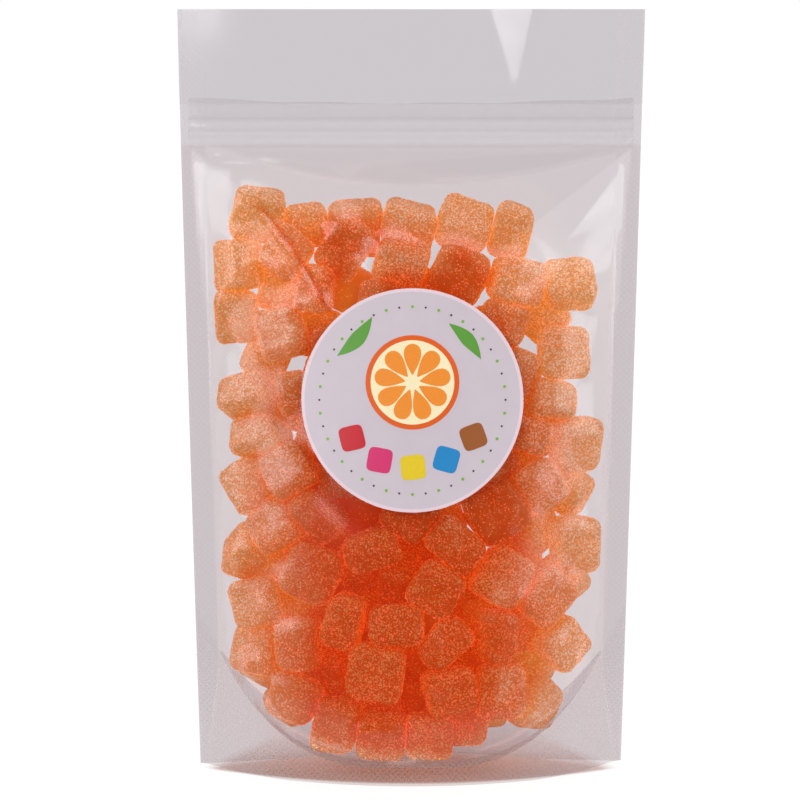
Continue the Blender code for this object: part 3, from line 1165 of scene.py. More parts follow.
    def press_apart(self) -> float:
        """Move and turn the sweets, step by step, until their balls hardly share room with others or the film.

        Returns:
            The largest overlap of two balls that is left, in metres.
        """
        tables = self.room_tables()
        home = self.middles.copy()
        own, radii = self.balls()
        left = 0.0
        pairs = (np.zeros(0, int), np.zeros(0, int))
        for step in range(self.rounds):
            if step % self.pair_rounds == 0:
                gaps = np.linalg.norm(self.middles[:, None] - self.middles[None], axis=2)
                pairs = np.nonzero(np.triu(gaps < self.pair_reach, 1))
            arms = np.einsum("nij,nbj->nbi", self.turns, own)
            balls = self.middles[:, None] + arms
            force = np.zeros_like(self.middles)
            twist = np.zeros_like(self.middles)
            count = np.zeros(len(self.middles))
            first, second = pairs
            apart = balls[first][:, :, None] - balls[second][:, None]
            length = np.linalg.norm(apart, axis=3) + 1e-9
            over = radii[first][:, :, None] + radii[second][:, None] - length
            over = np.where(over > 0, over, 0.0)
            left = float(over.max())
            push = apart / length[..., None] * (0.5 * over)[..., None]
            for who, net, arm in (
                (first, push.sum(axis=2), arms[first]),
                (second, -push.sum(axis=1), arms[second]),
            ):
                np.add.at(force, who, net.sum(axis=1))
                np.add.at(twist, who, np.cross(arm, net).sum(axis=1))
                np.add.at(count, who, (over > 0).sum(axis=(1, 2)))
            wall, touched = self.walls(balls, radii, tables)
            force += self.wall_weight * wall.sum(axis=1)
            twist += self.wall_weight * np.cross(arms, wall).sum(axis=1)
            count += self.wall_weight * touched
            shared = np.maximum(count, 1.0)[:, None]
            move = self.push_share * force / shared
            size = np.linalg.norm(move, axis=1, keepdims=True)
            move *= np.minimum(1.0, self.largest_move / np.maximum(size, 1e-9))
            self.middles = self.middles + move
            # At first each placed sweet is drawn back to its place, and the loose ones sink.
            easing = max(0.0, 1 - step / (self.eased_share * self.rounds))
            drawn = home - self.middles
            drawn[:, 1] *= self.depth_pull
            self.middles += drawn * (self.holds * easing)[:, None]
            self.middles[:, 2] -= np.where(self.holds < self.loose_below, self.sink * easing, 0.0)
            self.turns = self.spun(self.spin_share * twist / shared / self.arm**2)
        return left

    def spun(self, spins: np.ndarray) -> np.ndarray:
        """Turn every sweet by a small rotation vector and return the new rotations."""
        angle = np.linalg.norm(spins, axis=1)
        scale = np.minimum(1.0, self.largest_spin / np.maximum(angle, 1e-9))
        x, y, z = (spins * scale[:, None]).T
        zero = np.zeros_like(x)
        skew = np.stack([zero, -z, y, z, zero, -x, -y, x, zero], axis=1).reshape(-1, 3, 3)
        turned = self.turns + skew @ self.turns
        u, _, v = np.linalg.svd(turned)
        return u @ v

    def settle(self) -> None:
        """Place all the sweets and press them apart."""
        self.place_seen()
        self.fill_behind_label()
        self.fill_behind()
        left = self.press_apart()
        LOG.info(
            "heap: %d sweets, layers %s, largest overlap of two stand-in balls %.2f mm",
            len(self.middles),
            np.bincount(self.depths).tolist(),
            left / MM,
        )


@dataclass
class Sweets:
    """The sweets and the loose sugar on them, as joined meshes."""

    heap: Heap
    cuts: int = 15
    corner: float = 0.0037
    kinds: int = 10
    seed: int = 5
    grains_seen: int = 560
    grains_hidden: int = 170
    smallest_grain: float = 0.00014
    largest_grain: float = 0.00036
    rim_frost: float = 0.22
    top_frost_and_highlight: float = 0.26
    side_frost: float = 0.20
    spots_on_kind: int = 2200
    drift_length: float = 0.019
    net: float = 0.00125
    net_left: float = 0.09
    net_below: float = 0.005
    net_width: float = 0.18
    net_height: float = 0.23
    net_blur: int = 6

    def nominal_half(self) -> np.ndarray:
        """Give half a plain sweet's sizes along its own axes."""
        return np.array([self.heap.length, self.heap.thickness, self.heap.length]) / 2

    def model_kind(self, number: int) -> bpy.types.Object:
        """Model one sweet at the origin: a tile with round, uneven edges, a dished face and drawn-in sides.

        Args:
            number: Which of the kinds it is.

        Returns:
            The sweet, standing with its square face to the front.
        """
        draw = np.random.default_rng(self.seed * 100 + number)
        deselect_all()
        bpy.ops.mesh.primitive_cube_add(size=1.0)
        sweet = bpy.context.object
        sweet.name = f"sweet_kind_{number}"
        with edit_mode(sweet):
            bpy.ops.mesh.subdivide(number_cuts=self.cuts)
        half = self.nominal_half()
        places = read_places(sweet.data) * 2 * half
        radius = self.corner * draw.uniform(0.85, 1.15)
        core = np.clip(places, -(half - radius), half - radius)
        over = places - core
        reach = np.linalg.norm(over, axis=1, keepdims=True)
        places = core + np.where(reach > 1e-9, over / np.maximum(reach, 1e-9), 0.0) * radius
        x, y, z = (places / half).T
        # The mould's draft narrows one face, and the jelly sinks a little in the middle of the other.
        draft = 1 - draw.uniform(0.02, 0.07) * (y + 1) / 2
        dish = draw.uniform(0.3, 0.9) * MM * np.exp(-((x**2 + z**2) / 0.45)) * (y < 0)
        places[:, 0] *= draft * (1 + draw.uniform(-0.05, 0.05) * z + draw.uniform(-0.04, 0.04) * x * z)
        places[:, 2] *= draft * (1 + draw.uniform(-0.05, 0.05) * x + draw.uniform(-0.04, 0.04) * x * z)
        places[:, 1] += dish
        places[:, 1] *= 1 + draw.uniform(-0.07, 0.07) * x + draw.uniform(-0.07, 0.07) * z
        write_places(sweet.data, places)
        for strength, size, seed in ((1.1, 0.010, 1), (0.42, 0.0032, 2)):
            texture = bpy.data.textures.new(f"sweet_relief_{number}_{seed}", "CLOUDS")
            texture.noise_scale = size
            texture.noise_depth = 2
            swelling = sweet.modifiers.new(f"relief_{seed}", "DISPLACE")
            swelling.texture = texture
            swelling.texture_coords = "OBJECT"
            probe = bpy.data.objects.new(f"probe_{number}_{seed}", None)
            bpy.context.scene.collection.objects.link(probe)
            probe.location = tuple(draw.uniform(-1, 1, 3))
            swelling.texture_coords_object = probe
            swelling.strength = strength * MM
            swelling.mid_level = 0.5
        bpy.context.view_layer.update()
        apply_modifiers(sweet)
        bpy.ops.object.shade_smooth()
        for probe in [item for item in bpy.data.objects if item.name.startswith(f"probe_{number}_")]:
            bpy.data.objects.remove(probe)
        return sweet

    def build(self, jelly: bpy.types.Material, sugar: bpy.types.Material) -> list[bpy.types.Object]:
        """Build every sweet and the sugar on them.

        Args:
            jelly: The sweets' material.
            sugar: The loose grains' material.

        Returns:
            The finished pieces.
        """
        kinds = [self.model_kind(number) for number in range(self.kinds)]
        draw = np.random.default_rng(self.seed)
        groups: dict[str, list[bpy.types.Object]] = {"front": [], "middle": [], "back": []}
        nominal = self.nominal_half()
        grains: dict[str, list[np.ndarray]] = {"front": [], "back": []}
        samples = [self.sample(kind, np.random.default_rng(self.seed * 7 + n)) for n, kind in enumerate(kinds)]
        rims = [self.rim(read_places(kind.data)) for kind in kinds]
        facings = [read_normals(kind.data) for kind in kinds]
        for index in range(len(self.heap.middles)):
            number = int(draw.integers(self.kinds))
            copy = kinds[number].copy()
            copy.data = kinds[number].data.copy()
            bpy.context.scene.collection.objects.link(copy)
            stretch = self.heap.halves[index] / nominal
            turn = self.heap.turns[index]
            shape = turn * stretch[None, :]
            write_places(copy.data, read_places(copy.data) @ shape.T + self.heap.middles[index])
            frost = self.heap.frosts[index] + self.rim_frost * rims[number] - 0.06
            # Upward faces carry more sugar, partly as a painted highlight of the light from above.
            frost += self.top_frost_and_highlight * np.clip(facings[number] @ turn.T[:, 2], 0.0, 1.0)
            frost += self.side_frost * float(smooth((self.heap.middles[index][0] - 0.030) / 0.020))
            write_values(copy.data, frost=frost)
            depth = int(self.heap.depths[index])
            group = "front" if depth == 0 else ("back" if depth == BACK else "middle")
            groups[group].append(copy)
            count = self.grains_seen if depth < 2 else self.grains_hidden
            count = int(count * (0.55 + self.heap.frosts[index]))
            points, normals = samples[number]
            outward = normals @ turn.T
            # Most grains go where they show: on the side that lies against the film.
            shown = 0.12 + np.clip(0.35 + outward[:, 1] * (1 if depth == BACK else -1), 0.0, 1.0)
            waves = draw.normal(0.0, 1.0, (3, 2)) * 2 * math.pi / self.drift_length
            drifts = np.sin(points @ waves + draw.uniform(0, 2 * math.pi, 2)).mean(axis=1)
            shown *= 0.20 + smooth(0.5 + 0.9 * drifts)
            chosen = draw.choice(len(points), count, replace=False, p=shown / shown.sum())
            spots = points[chosen] @ shape.T + self.heap.middles[index]
            outward = outward[chosen]
            grains["front" if depth < 2 else "back"].append(np.hstack([spots, outward]))
        pieces = []
        counts = self.count_layers([copy for members in groups.values() for copy in members])
        for group, members in groups.items():
            pieces.append(join_into(f"sweets_{group}", members))
            give_finish(pieces[-1], jelly)
        for kind in kinds:
            bpy.data.objects.remove(kind)
        for group, spots in grains.items():
            pieces.append(self.build_grains(group, np.vstack(spots), sugar))
        self.paint_depth_shade(pieces, counts)
        return pieces

    def rim(self, places: np.ndarray) -> np.ndarray:
        """Say how near each place of a sweet is to its rounded edges, from 0 on its faces to 1."""
        near = np.clip(np.abs(places) / self.nominal_half(), 0.0, 1.0) ** 6
        return np.clip(near.sum(axis=1) - 1.0, 0.0, 1.0)

    def cells(self, places: np.ndarray) -> tuple[np.ndarray, np.ndarray]:
        """Give the rows and columns of the depth net in which places lie."""
        return (
            ((places[:, 2] + self.net_below) / self.net).astype(int),
            ((places[:, 0] + self.net_left) / self.net).astype(int),
        )

    def count_layers(self, sweets: list[bpy.types.Object]) -> np.ndarray:
        """Count how many sweets lie one behind another at each cell of the depth net, blurred."""
        counts = np.zeros((int(self.net_height / self.net), int(self.net_width / self.net)))
        for sweet in sweets:
            covered = np.zeros_like(counts)
            covered[self.cells(read_places(sweet.data))] = 1.0
            counts += covered
        return blur(counts, self.net_blur)

    def paint_depth_shade(self, pieces: list[bpy.types.Object], counts: np.ndarray) -> None:
        """Store on pieces how deep the heap is where each of their spots lies, from 0 to 1.

        The materials paint the sweets and sugar deeper by it: painted shade. Near the pouch's sides light comes
        in past the sweets, so that the same heap is painted paler there.
        """
        for piece in pieces:
            places = read_places(piece.data)
            stacked = smooth((counts[self.cells(places)] - 0.75) / 1.7)
            inside = 1 - 0.62 * smooth((np.abs(places[:, 0]) - 0.030) / 0.018)
            write_values(piece.data, deep=stacked * inside)

    def sample(self, sweet: bpy.types.Object, draw: np.random.Generator) -> tuple[np.ndarray, np.ndarray]:
        """Choose evenly spread places on a sweet.

        Args:
            sweet: The sweet, at the origin.
            draw: The seeded source of chance.

        Returns:
            The places and the outward directions there.
        """
        mesh = sweet.data
        areas = np.empty(len(mesh.polygons))
        mesh.polygons.foreach_get("area", areas)
        faces = draw.choice(len(areas), self.spots_on_kind, p=areas / areas.sum())
        corners = np.empty(len(mesh.polygons) * 4, int)
        mesh.loops.foreach_get("vertex_index", corners)
        corners = corners.reshape(-1, 4)[faces]
        normals = np.empty(len(mesh.polygons) * 3)
        mesh.polygons.foreach_get("normal", normals)
        places = read_places(mesh)[corners]
        u, v = draw.random((2, len(faces), 1))
        spots = (1 - u) * (1 - v) * places[:, 0] + u * (1 - v) * places[:, 1] + u * v * places[:, 2]
        spots += (1 - u) * v * places[:, 3]
        return spots, normals.reshape(-1, 3)[faces]

    def build_grains(self, group: str, spots: np.ndarray, sugar: bpy.types.Material) -> bpy.types.Object:
        """Build loose sugar as one mesh of small four-sided crystals.

        Args:
            group: Which sweets they lie on, for the piece's name.
            spots: A row for each grain, with its place and the outward direction.
            sugar: Their material.

        Returns:
            The piece.
        """
        draw = np.random.default_rng(self.seed + len(group))
        deselect_all()
        bpy.ops.mesh.primitive_cone_add(vertices=3, radius1=1.05, radius2=0.0, depth=1.5, end_fill_type="NGON")
        crystal = bpy.context.object
        corners = read_places(crystal.data)
        faces = np.array([list(face.vertices) for face in crystal.data.polygons])
        count = len(spots)
        angles = draw.uniform(0, 2 * math.pi, (count, 3))
        turns = np.array([Euler(tuple(row)).to_matrix() for row in angles])
        sizes = draw.uniform(self.smallest_grain, self.largest_grain, (count, 1, 1))
        lengths = draw.uniform(0.75, 1.25, (count, 1, 3))
        shaped = corners[None] * lengths * sizes
        placed = np.einsum("nij,nbj->nbi", turns, shaped)
        placed += (spots[:, :3] + spots[:, 3:] * sizes[:, 0] * 0.35)[:, None]
        joined = bpy.data.meshes.new(f"sugar_{group}")
        starts = (np.arange(count) * len(corners))[:, None, None]
        all_faces = (faces[None] + starts).reshape(-1, faces.shape[1])
        joined.from_pydata(placed.reshape(-1, 3), [], all_faces.tolist())
        joined.materials.append(sugar)
        crystal.data = joined
        crystal.name = f"sugar_{group}"
        return crystal


# ---------------------------------------------------------------------------------------------------------------
# The film


@dataclass(frozen=True)
class Crease:
    """A crease in the front film: its path in photograph pixels, its height and width, its milk and its dark."""

    path: tuple[tuple[float, float], ...]
    height: float
    width: float
    # Partly crease whitening and partly a painted highlight along the crease.
    milk: float = 0.0
    # Painted shade along the crease.
    dark: float = 0.0


FRONT_CREASES = (
    Crease(((196, 149), (300, 149), (500, 149), (622, 148)), 0.1 * MM, 0.9 * MM, 0.16),
    Crease(((255, 160), (290, 170), (350, 181), (402, 184)), 0.3 * MM, 0.8 * MM, 0.30),
    Crease(((626, 148), (560, 166), (500, 176), (402, 184)), 0.3 * MM, 0.8 * MM, 0.30),
    Crease(((205, 150), (268, 161), (330, 170), (349, 178)), 0.3 * MM, 1.2 * MM, 0.12),
    Crease(((349, 178), (366, 166), (420, 160)), 0.3 * MM, 1.2 * MM, 0.10),
    Crease(((250, 196), (270, 217), (295, 250), (318, 288), (335, 320)), 0.6 * MM, 0.9 * MM, 0.0, 1.0),
    Crease(((243, 200), (262, 222), (287, 256), (310, 293)), 0.3 * MM, 0.9 * MM, 0.10),
    Crease(((225, 647), (252, 679), (262, 690), (290, 728), (322, 743), (360, 754)), 0.5 * MM, 0.7 * MM, 0.55),
    Crease(((384, 762), (400, 763), (420, 760)), 0.4 * MM, 0.8 * MM, 0.35),
    Crease(((470, 752), (506, 741), (556, 708), (592, 645)), 0.5 * MM, 0.7 * MM, 0.45),
    Crease(((232, 640), (262, 700), (300, 742)), 0.5 * MM, 1.0 * MM, 0.25),
    Crease(((590, 635), (562, 690), (520, 728)), 0.5 * MM, 1.0 * MM, 0.25),
)


@dataclass
class Film:
    """The pouch's film: the front and back panels, welded at the sides and top, and the folded bottom."""

    form: PouchForm
    view: PhotoView
    columns: int = 190
    rows: int = 320
    back_columns: int = 100
    back_rows: int = 160
    bottom_columns: int = 72
    bottom_rows: int = 28
    seal_columns: int = 8
    net: float = 0.00125
    clearance: float = 0.00035
    swollen: float = 0.0013
    slack: float = 0.004
    pull: float = 0.025
    slack_pull: float = 0.002
    drape_rounds: int = 300
    fold_tip: float = 0.2360
    facet_top: float = 0.2103
    side_facet: float = 0.33
    top_facet: float = 0.26
    seal_drawn: float = 0.0030
    seal_share: float = 0.14
    slack_share: float = 0.38
    facet_share: float = 0.66
    facet_tip: float = 0.2183
    facet_drawn: float = 0.0045
    foot_painted_shade: float = 0.16
    slack_from: float = 0.172
    slack_fade: float = 0.022
    weld_soft: float = 0.6 * MM
    seal_weld: float = 0.25
    net_side: float = 0.0825
    net_below: float = 0.005
    net_top: float = 0.2700
    heights: dict[int, np.ndarray] = field(default_factory=dict)

    def drape(self, sweets: list[bpy.types.Object]) -> None:
        """Stretch both panels over the sweets, as a net that sinks until it touches them.

        Args:
            sweets: The pieces that press against the film.
        """
        places = np.vstack([read_places(piece.data) for piece in sweets])
        across = np.arange(-self.net_side, self.net_side + 0.1 * MM, self.net)
        upward = np.arange(-self.net_below, self.net_top + 0.1 * MM, self.net)
        x, z = np.meshgrid(across, upward)
        column = np.rint((places[:, 0] - across[0]) / self.net).astype(int)
        row = np.rint((places[:, 2] - upward[0]) / self.net).astype(int)
        kept = (column >= 1) & (column < len(across) - 1) & (row >= 1) & (row < len(upward) - 1)
        shape = self.form.bulge(x, z)
        labelled = np.hypot(x - self.form.label_x, z - self.form.label_z)
        for side in (-1, 1):
            pressed = np.full(x.shape, -1.0)
            np.maximum.at(pressed, (row[kept], column[kept]), side * places[kept, 1])
            wide = pressed.copy()
            for step_row in (-2, -1, 0, 1, 2):
                for step_column in (-2, -1, 0, 1, 2):
                    wide = np.maximum(wide, np.roll(pressed, (step_row, step_column), (0, 1)))
            floor = np.maximum(blur(wide, 3), pressed) + self.clearance
            # Over the sweets' upper rows the film hangs slack, and lower down it is filled out.
            upper = smooth((z - self.slack_from) / self.slack_fade)
            free = smooth((labelled - 0.040) / 0.008) if side < 0 else 1.0
            rest = shape + self.swollen * np.clip(shape / 0.006, 0, 1) * free * (1 - upper)
            rest = np.maximum(rest - self.slack * np.clip(shape / 0.010, 0, 1) * upper, 0.0)
            pull = self.pull + (self.slack_pull - self.pull) * upper
            fixed = (z < self.form.weld_height(x) + 0.002) | (shape <= 0)
            if side < 0:
                fixed |= labelled < self.form.label_radius + 0.001
            held = np.where(fixed, shape, 0.0)
            film = rest.copy()
            for _ in range(self.drape_rounds):
                beside = np.roll(film, 1, 0) + np.roll(film, -1, 0) + np.roll(film, 1, 1) + np.roll(film, -1, 1)
                mean = 0.25 * beside
                film = np.maximum((1 - pull) * mean + pull * rest, floor)
                film = np.where(fixed, held, film)
            self.heights[side] = film

    def stand_off(self, side: int, x: np.ndarray, z: np.ndarray) -> np.ndarray:
        """Read how far the draped film stands off the middle plane."""
        film = self.heights[side]
        column = np.clip((x + self.net_side) / self.net, 0, film.shape[1] - 1.001)
        row = np.clip((z + self.net_below) / self.net, 0, film.shape[0] - 1.001)
        left, low = column.astype(int), row.astype(int)
        share_x, share_z = column - left, row - low
        below = film[low, left] * (1 - share_x) + film[low, left + 1] * share_x
        above = film[low + 1, left] * (1 - share_x) + film[low + 1, left + 1] * share_x
        return below * (1 - share_z) + above * share_z

    def corner_facets(self, x: np.ndarray, z: np.ndarray) -> np.ndarray:
        """Give the height of the flat facets that the film forms at the body's upper corners."""
        inward = self.side_facet * (self.form.inner_half_width(z) - np.abs(x))
        downward = self.top_facet * (self.facet_top - z)
        return np.minimum(inward, downward) * smooth((z - 0.165) / 0.020)

    def seal_tilt(self, x: np.ndarray, z: np.ndarray) -> np.ndarray:
        """Give how far the inner edges of the side seals are drawn forward by the corner facets."""
        within = np.clip(self.form.inner_half_width(z) + self.seal_drawn - np.abs(x), 0.0, self.seal_drawn)
        window = smooth((0.2155 - z) / 0.003) * smooth((z - 0.170) / 0.030) * smooth((np.abs(x) - 0.035) / 0.030)
        return -self.side_facet * within * window

    def header_wave(self, x: np.ndarray, z: np.ndarray) -> np.ndarray:
        """Give the header's slow waves and its one soft fold, which move both panels together."""
        free = smooth((z - self.fold_tip) / (self.form.height - self.fold_tip))
        slow = 0.8 * MM * np.sin(2 * math.pi * (x / 0.118 + 0.11)) + 0.3 * MM * np.sin(2 * math.pi * x / 0.047)
        # The fold opens like a cone from its tip just over the strip to the top edge.
        up = np.clip((z - self.fold_tip) / (self.form.height - self.fold_tip), 0, 1)
        wide = 1.0 * MM + 14.5 * MM * up
        share = (x - (0.0360 + 0.0058 * up)) / wide + 1
        rise = np.where(share < 1, np.clip(share, 0, 1) ** 1.3, np.exp(-(((share - 1) / 0.8) ** 2)))
        return slow * free - 0.20 * wide * rise * smooth(up * 6)

    def sheerness(self, x: np.ndarray, z: np.ndarray) -> np.ndarray:
        """Give how light the filled part's front film is, from 0 in the two darker lens shapes under the strip.

        The lenses hang between the strip and the slack film over the sweets, with a pale notch between them
        and the bright flat facets at the body's corners beside them. The dark lenses are painted shade, and the
        notch and the facets' extra brightness are painted highlights, on top of the facets' real reflections.
        """
        corners_x = (-0.0710, -0.0275, -0.0214, -0.0158, 0.0755)
        upper = np.interp(x, corners_x, (0.2187, 0.2118, 0.2083, 0.2128, 0.2190))
        lower = 0.2063 + np.where(x < 0, 3.0, 2.2) * x**2
        above = smooth((z - upper) / (0.8 * MM) + 0.5)
        below = smooth((lower - z) / (0.8 * MM) + 0.5)
        body = np.maximum(self.seal_share * above, self.slack_share * below)
        to_side = self.form.inner_half_width(z) - np.abs(x)
        down = self.facet_tip - z
        body = np.where(to_side > 0, body, self.seal_share)
        onto_seal = to_side + self.facet_drawn
        facet = smooth((1.30 * down - onto_seal) / MM + 0.5) * smooth((onto_seal - 0.05 * down) / MM + 0.5)
        return body + (self.facet_share - body) * facet * smooth((z - 0.150) / 0.040)

    def panel(self, side: int) -> bpy.types.Object:
        """Make the front or back panel.

        Args:
            side: -1 for the front and 1 for the back.

        Returns:
            The panel, shaped, with its weld and crease values.
        """
        columns, rows = (self.columns, self.rows) if side < 0 else (self.back_columns, self.back_rows)
        name = "film_front" if side < 0 else "film_back"
        sheet, u, v = add_grid(name, columns, rows)
        z = v * self.form.height
        seal = (self.seal_columns if side < 0 else self.seal_columns // 2) / columns
        inner = self.form.inner_half_width(z)
        outer = self.form.half_width(z)
        mid = np.clip((u - seal) / (1 - 2 * seal), 0, 1) * 2 - 1
        beyond = np.where(u < seal, u / seal - 1, np.where(u > 1 - seal, (u - 1) / seal + 1, 0.0))
        x = inner * mid + (outer - inner) * beyond
        z = z + self.form.lift(x) * np.clip(1 - z / self.form.gusset_top, 0, 1)
        film = np.maximum(self.stand_off(side, x, z), self.corner_facets(x, z))
        off = self.form.film_half + np.where(np.abs(beyond) > 0, 0.0, film)
        welded = smooth((self.form.weld_height(x) - z) / self.weld_soft + 0.5)
        weld = np.maximum(welded, np.where(np.abs(beyond) > 1e-6, self.seal_weld, 0.0))
        milk = np.zeros_like(x)
        fold = np.zeros_like(x)
        # Painted light and shade on the film, lighter or darker by region.
        sheer = np.full_like(x, self.seal_share)
        if side < 0:
            sheer = self.sheerness(x, z)
            for crease in FRONT_CREASES:
                spots = [self.view.on_front(px, py, self.form) for px, py in crease.path]
                gap, along = distance_to_path(x, z, [(spot.x, spot.z) for spot in spots])
                profile = np.exp(-((gap / crease.width) ** 2)) * smooth(along * 6) * smooth((1 - along) * 6)
                off = off + np.where(np.abs(beyond) > 0, 0.0, crease.height * profile)
                # A crease's milk whitens the film, partly as crease whitening and partly as a painted highlight.
                milk = milk + crease.milk * profile
                # A crease's dark paints shade along it.
                fold = fold + crease.dark * profile
        within = np.minimum(np.abs(np.abs(mid) - 1) * inner, 1)
        edge = within * (beyond == 0) + (outer - np.abs(x)) * (beyond != 0)
        milk = np.maximum(milk, 0.18 * np.exp(-((edge / (0.7 * MM)) ** 2)))
        y = side * off + self.header_wave(x, z) + self.seal_tilt(x, z)
        write_places(sheet.data, np.stack([x, y, z], axis=1))
        # Painted shade: the welded foot is painted darker and orange towards its middle, for the sweets' light
        # and shade below.
        fold = fold + self.foot_painted_shade * welded * np.clip(1 - (x / 0.055) ** 2, 0, 1)
        write_values(sheet.data, weld=weld, crease=milk, sheer=sheer * (1 - welded), fold=fold)
        return sheet

    def bottom(self) -> bpy.types.Object:
        """Make the folded bottom, which hangs from the front weld to the back weld and carries the sweets."""
        sheet, u, v = add_grid("film_bottom", self.bottom_columns, self.bottom_rows)
        widest = float(self.form.inner_half_width(np.array(self.form.gusset_top))) - 0.4 * MM
        x = (2 * u - 1) * widest
        weld = self.form.weld_height(x)
        reach = self.form.film_half + self.form.bulge(x, weld)
        y = (2 * v - 1) * reach
        inside = np.clip(np.abs(y) - self.form.film_half, 0, None) * np.sign(y)
        z = np.minimum(self.form.gusset(x, inside), weld)
        write_places(sheet.data, np.stack([x, y, z], axis=1))
        milk = 0.2 * np.exp(-((y / (1.2 * MM)) ** 2))
        none = np.zeros(len(x))
        write_values(sheet.data, weld=none, crease=milk, sheer=none + self.seal_share, fold=none)
        return sheet

    def build(self, finish: bpy.types.Material) -> list[bpy.types.Object]:
        """Make the film from its panels.

        Args:
            finish: The film's material.

        Returns:
            The bag and its folded bottom.
        """
        bag = join_into("pouch_film", [self.panel(-1), self.panel(1)])
        bottom = self.bottom()
        for piece in (bag, bottom):
            give_finish(piece, finish)
            with edit_mode(piece):
                turn_outwards()
            bpy.ops.object.shade_smooth()
        self.face_outwards(bag)
        return [bag, bottom]

    def face_outwards(self, bag: bpy.types.Object) -> None:
        """Turn the front panel's faces to -Y and the back panel's to +Y."""
        with edit_mode(bag):
            bpy.ops.mesh.select_all(action="DESELECT")
        half = (self.columns + 1) * (self.rows + 1)
        for face in bag.data.polygons:
            front = face.vertices[0] < half
            face.select = (face.normal.y > 0) if front else (face.normal.y < 0)
        bpy.ops.object.mode_set(mode="EDIT")
        bpy.ops.mesh.flip_normals()
        bpy.ops.object.mode_set(mode="OBJECT")


# ---------------------------------------------------------------------------------------------------------------
# The press-to-close strip


@dataclass
class PressStrip:
    """The clear press-to-close strip: a thin band with a rib, a ridge and fine guide lines."""

    film: Film
    low: float = 0.2190
    high: float = 0.2345
    half_length: float = 0.0765
    band_half: float = 0.0006
    ridge_half: float = 0.0017
    ridge_height: float = 0.0034
    ridge_centre: float = 0.2262
    rib_half: float = 0.0010
    rib_height: float = 0.0012
    rib_centre: float = 0.2212
    guide_half: float = 0.00078
    guide_height: float = 0.0007
    guide_centre: float = 0.2234
    crushed_end: float = 0.005
    steps: int = 48

    def outline(self) -> list[tuple[float, float]]:
        """List the strip's section as (y, z), from its foot up the back and down the front."""
        back = [(self.band_half, self.low)]
        for centre, height, reach in (
            (self.rib_centre, self.rib_height, self.rib_half),
            (self.guide_centre, self.guide_height, self.guide_half),
            (self.ridge_centre, self.ridge_height, self.ridge_half),
        ):
            foot, head, round_off = centre - height / 2, centre + height / 2, height / 4
            back += [(self.band_half, foot), (reach - 0.1 * MM, foot + round_off / 2), (reach, foot + round_off)]
            back += [(reach, head - round_off), (reach - 0.1 * MM, head - round_off / 2), (self.band_half, head)]
        back.append((self.band_half, self.high))
        return back + [(-y, z) for y, z in reversed(back)]

    def build(self, finish: bpy.types.Material) -> bpy.types.Object:
        """Extrude the section across the pouch in steps, so that it can follow the header's wave."""
        outline = self.outline()
        deselect_all()
        bpy.ops.mesh.primitive_circle_add(
            vertices=len(outline), radius=0.01, fill_type="NGON", location=(-self.half_length, 0.0, self.low)
        )
        strip = bpy.context.object
        bpy.ops.object.transform_apply(location=True, rotation=True, scale=True)
        write_places(strip.data, np.array([(-self.half_length, y, z) for y, z in outline]))
        step = 2 * self.half_length / self.steps
        with edit_mode(strip):
            for _ in range(self.steps):
                bpy.ops.mesh.extrude_region_move(TRANSFORM_OT_translate={"value": (step, 0.0, 0.0)})
            turn_outwards()
        places = read_places(strip.data)
        crushed = smooth((np.abs(places[:, 0]) - (self.half_length - self.crushed_end)) / self.crushed_end)
        places[:, 1] *= 1 - 0.55 * crushed
        edge = places[:, 2] > self.high - 0.2 * MM
        wave = 0.25 * MM * np.sin(places[:, 0] / (6 * MM))
        dip = 1.9 * MM * (places[:, 0] / self.half_length) ** 2 + wave - 0.5 * MM
        places[:, 2] += np.where(edge, dip, 0.0)
        places[:, 1] += self.film.header_wave(places[:, 0], places[:, 2])
        write_places(strip.data, places)
        bpy.ops.object.shade_smooth_by_angle(angle=math.radians(35))
        strip.name = "press_strip"
        give_finish(strip, finish)
        return strip


# ---------------------------------------------------------------------------------------------------------------
# The label


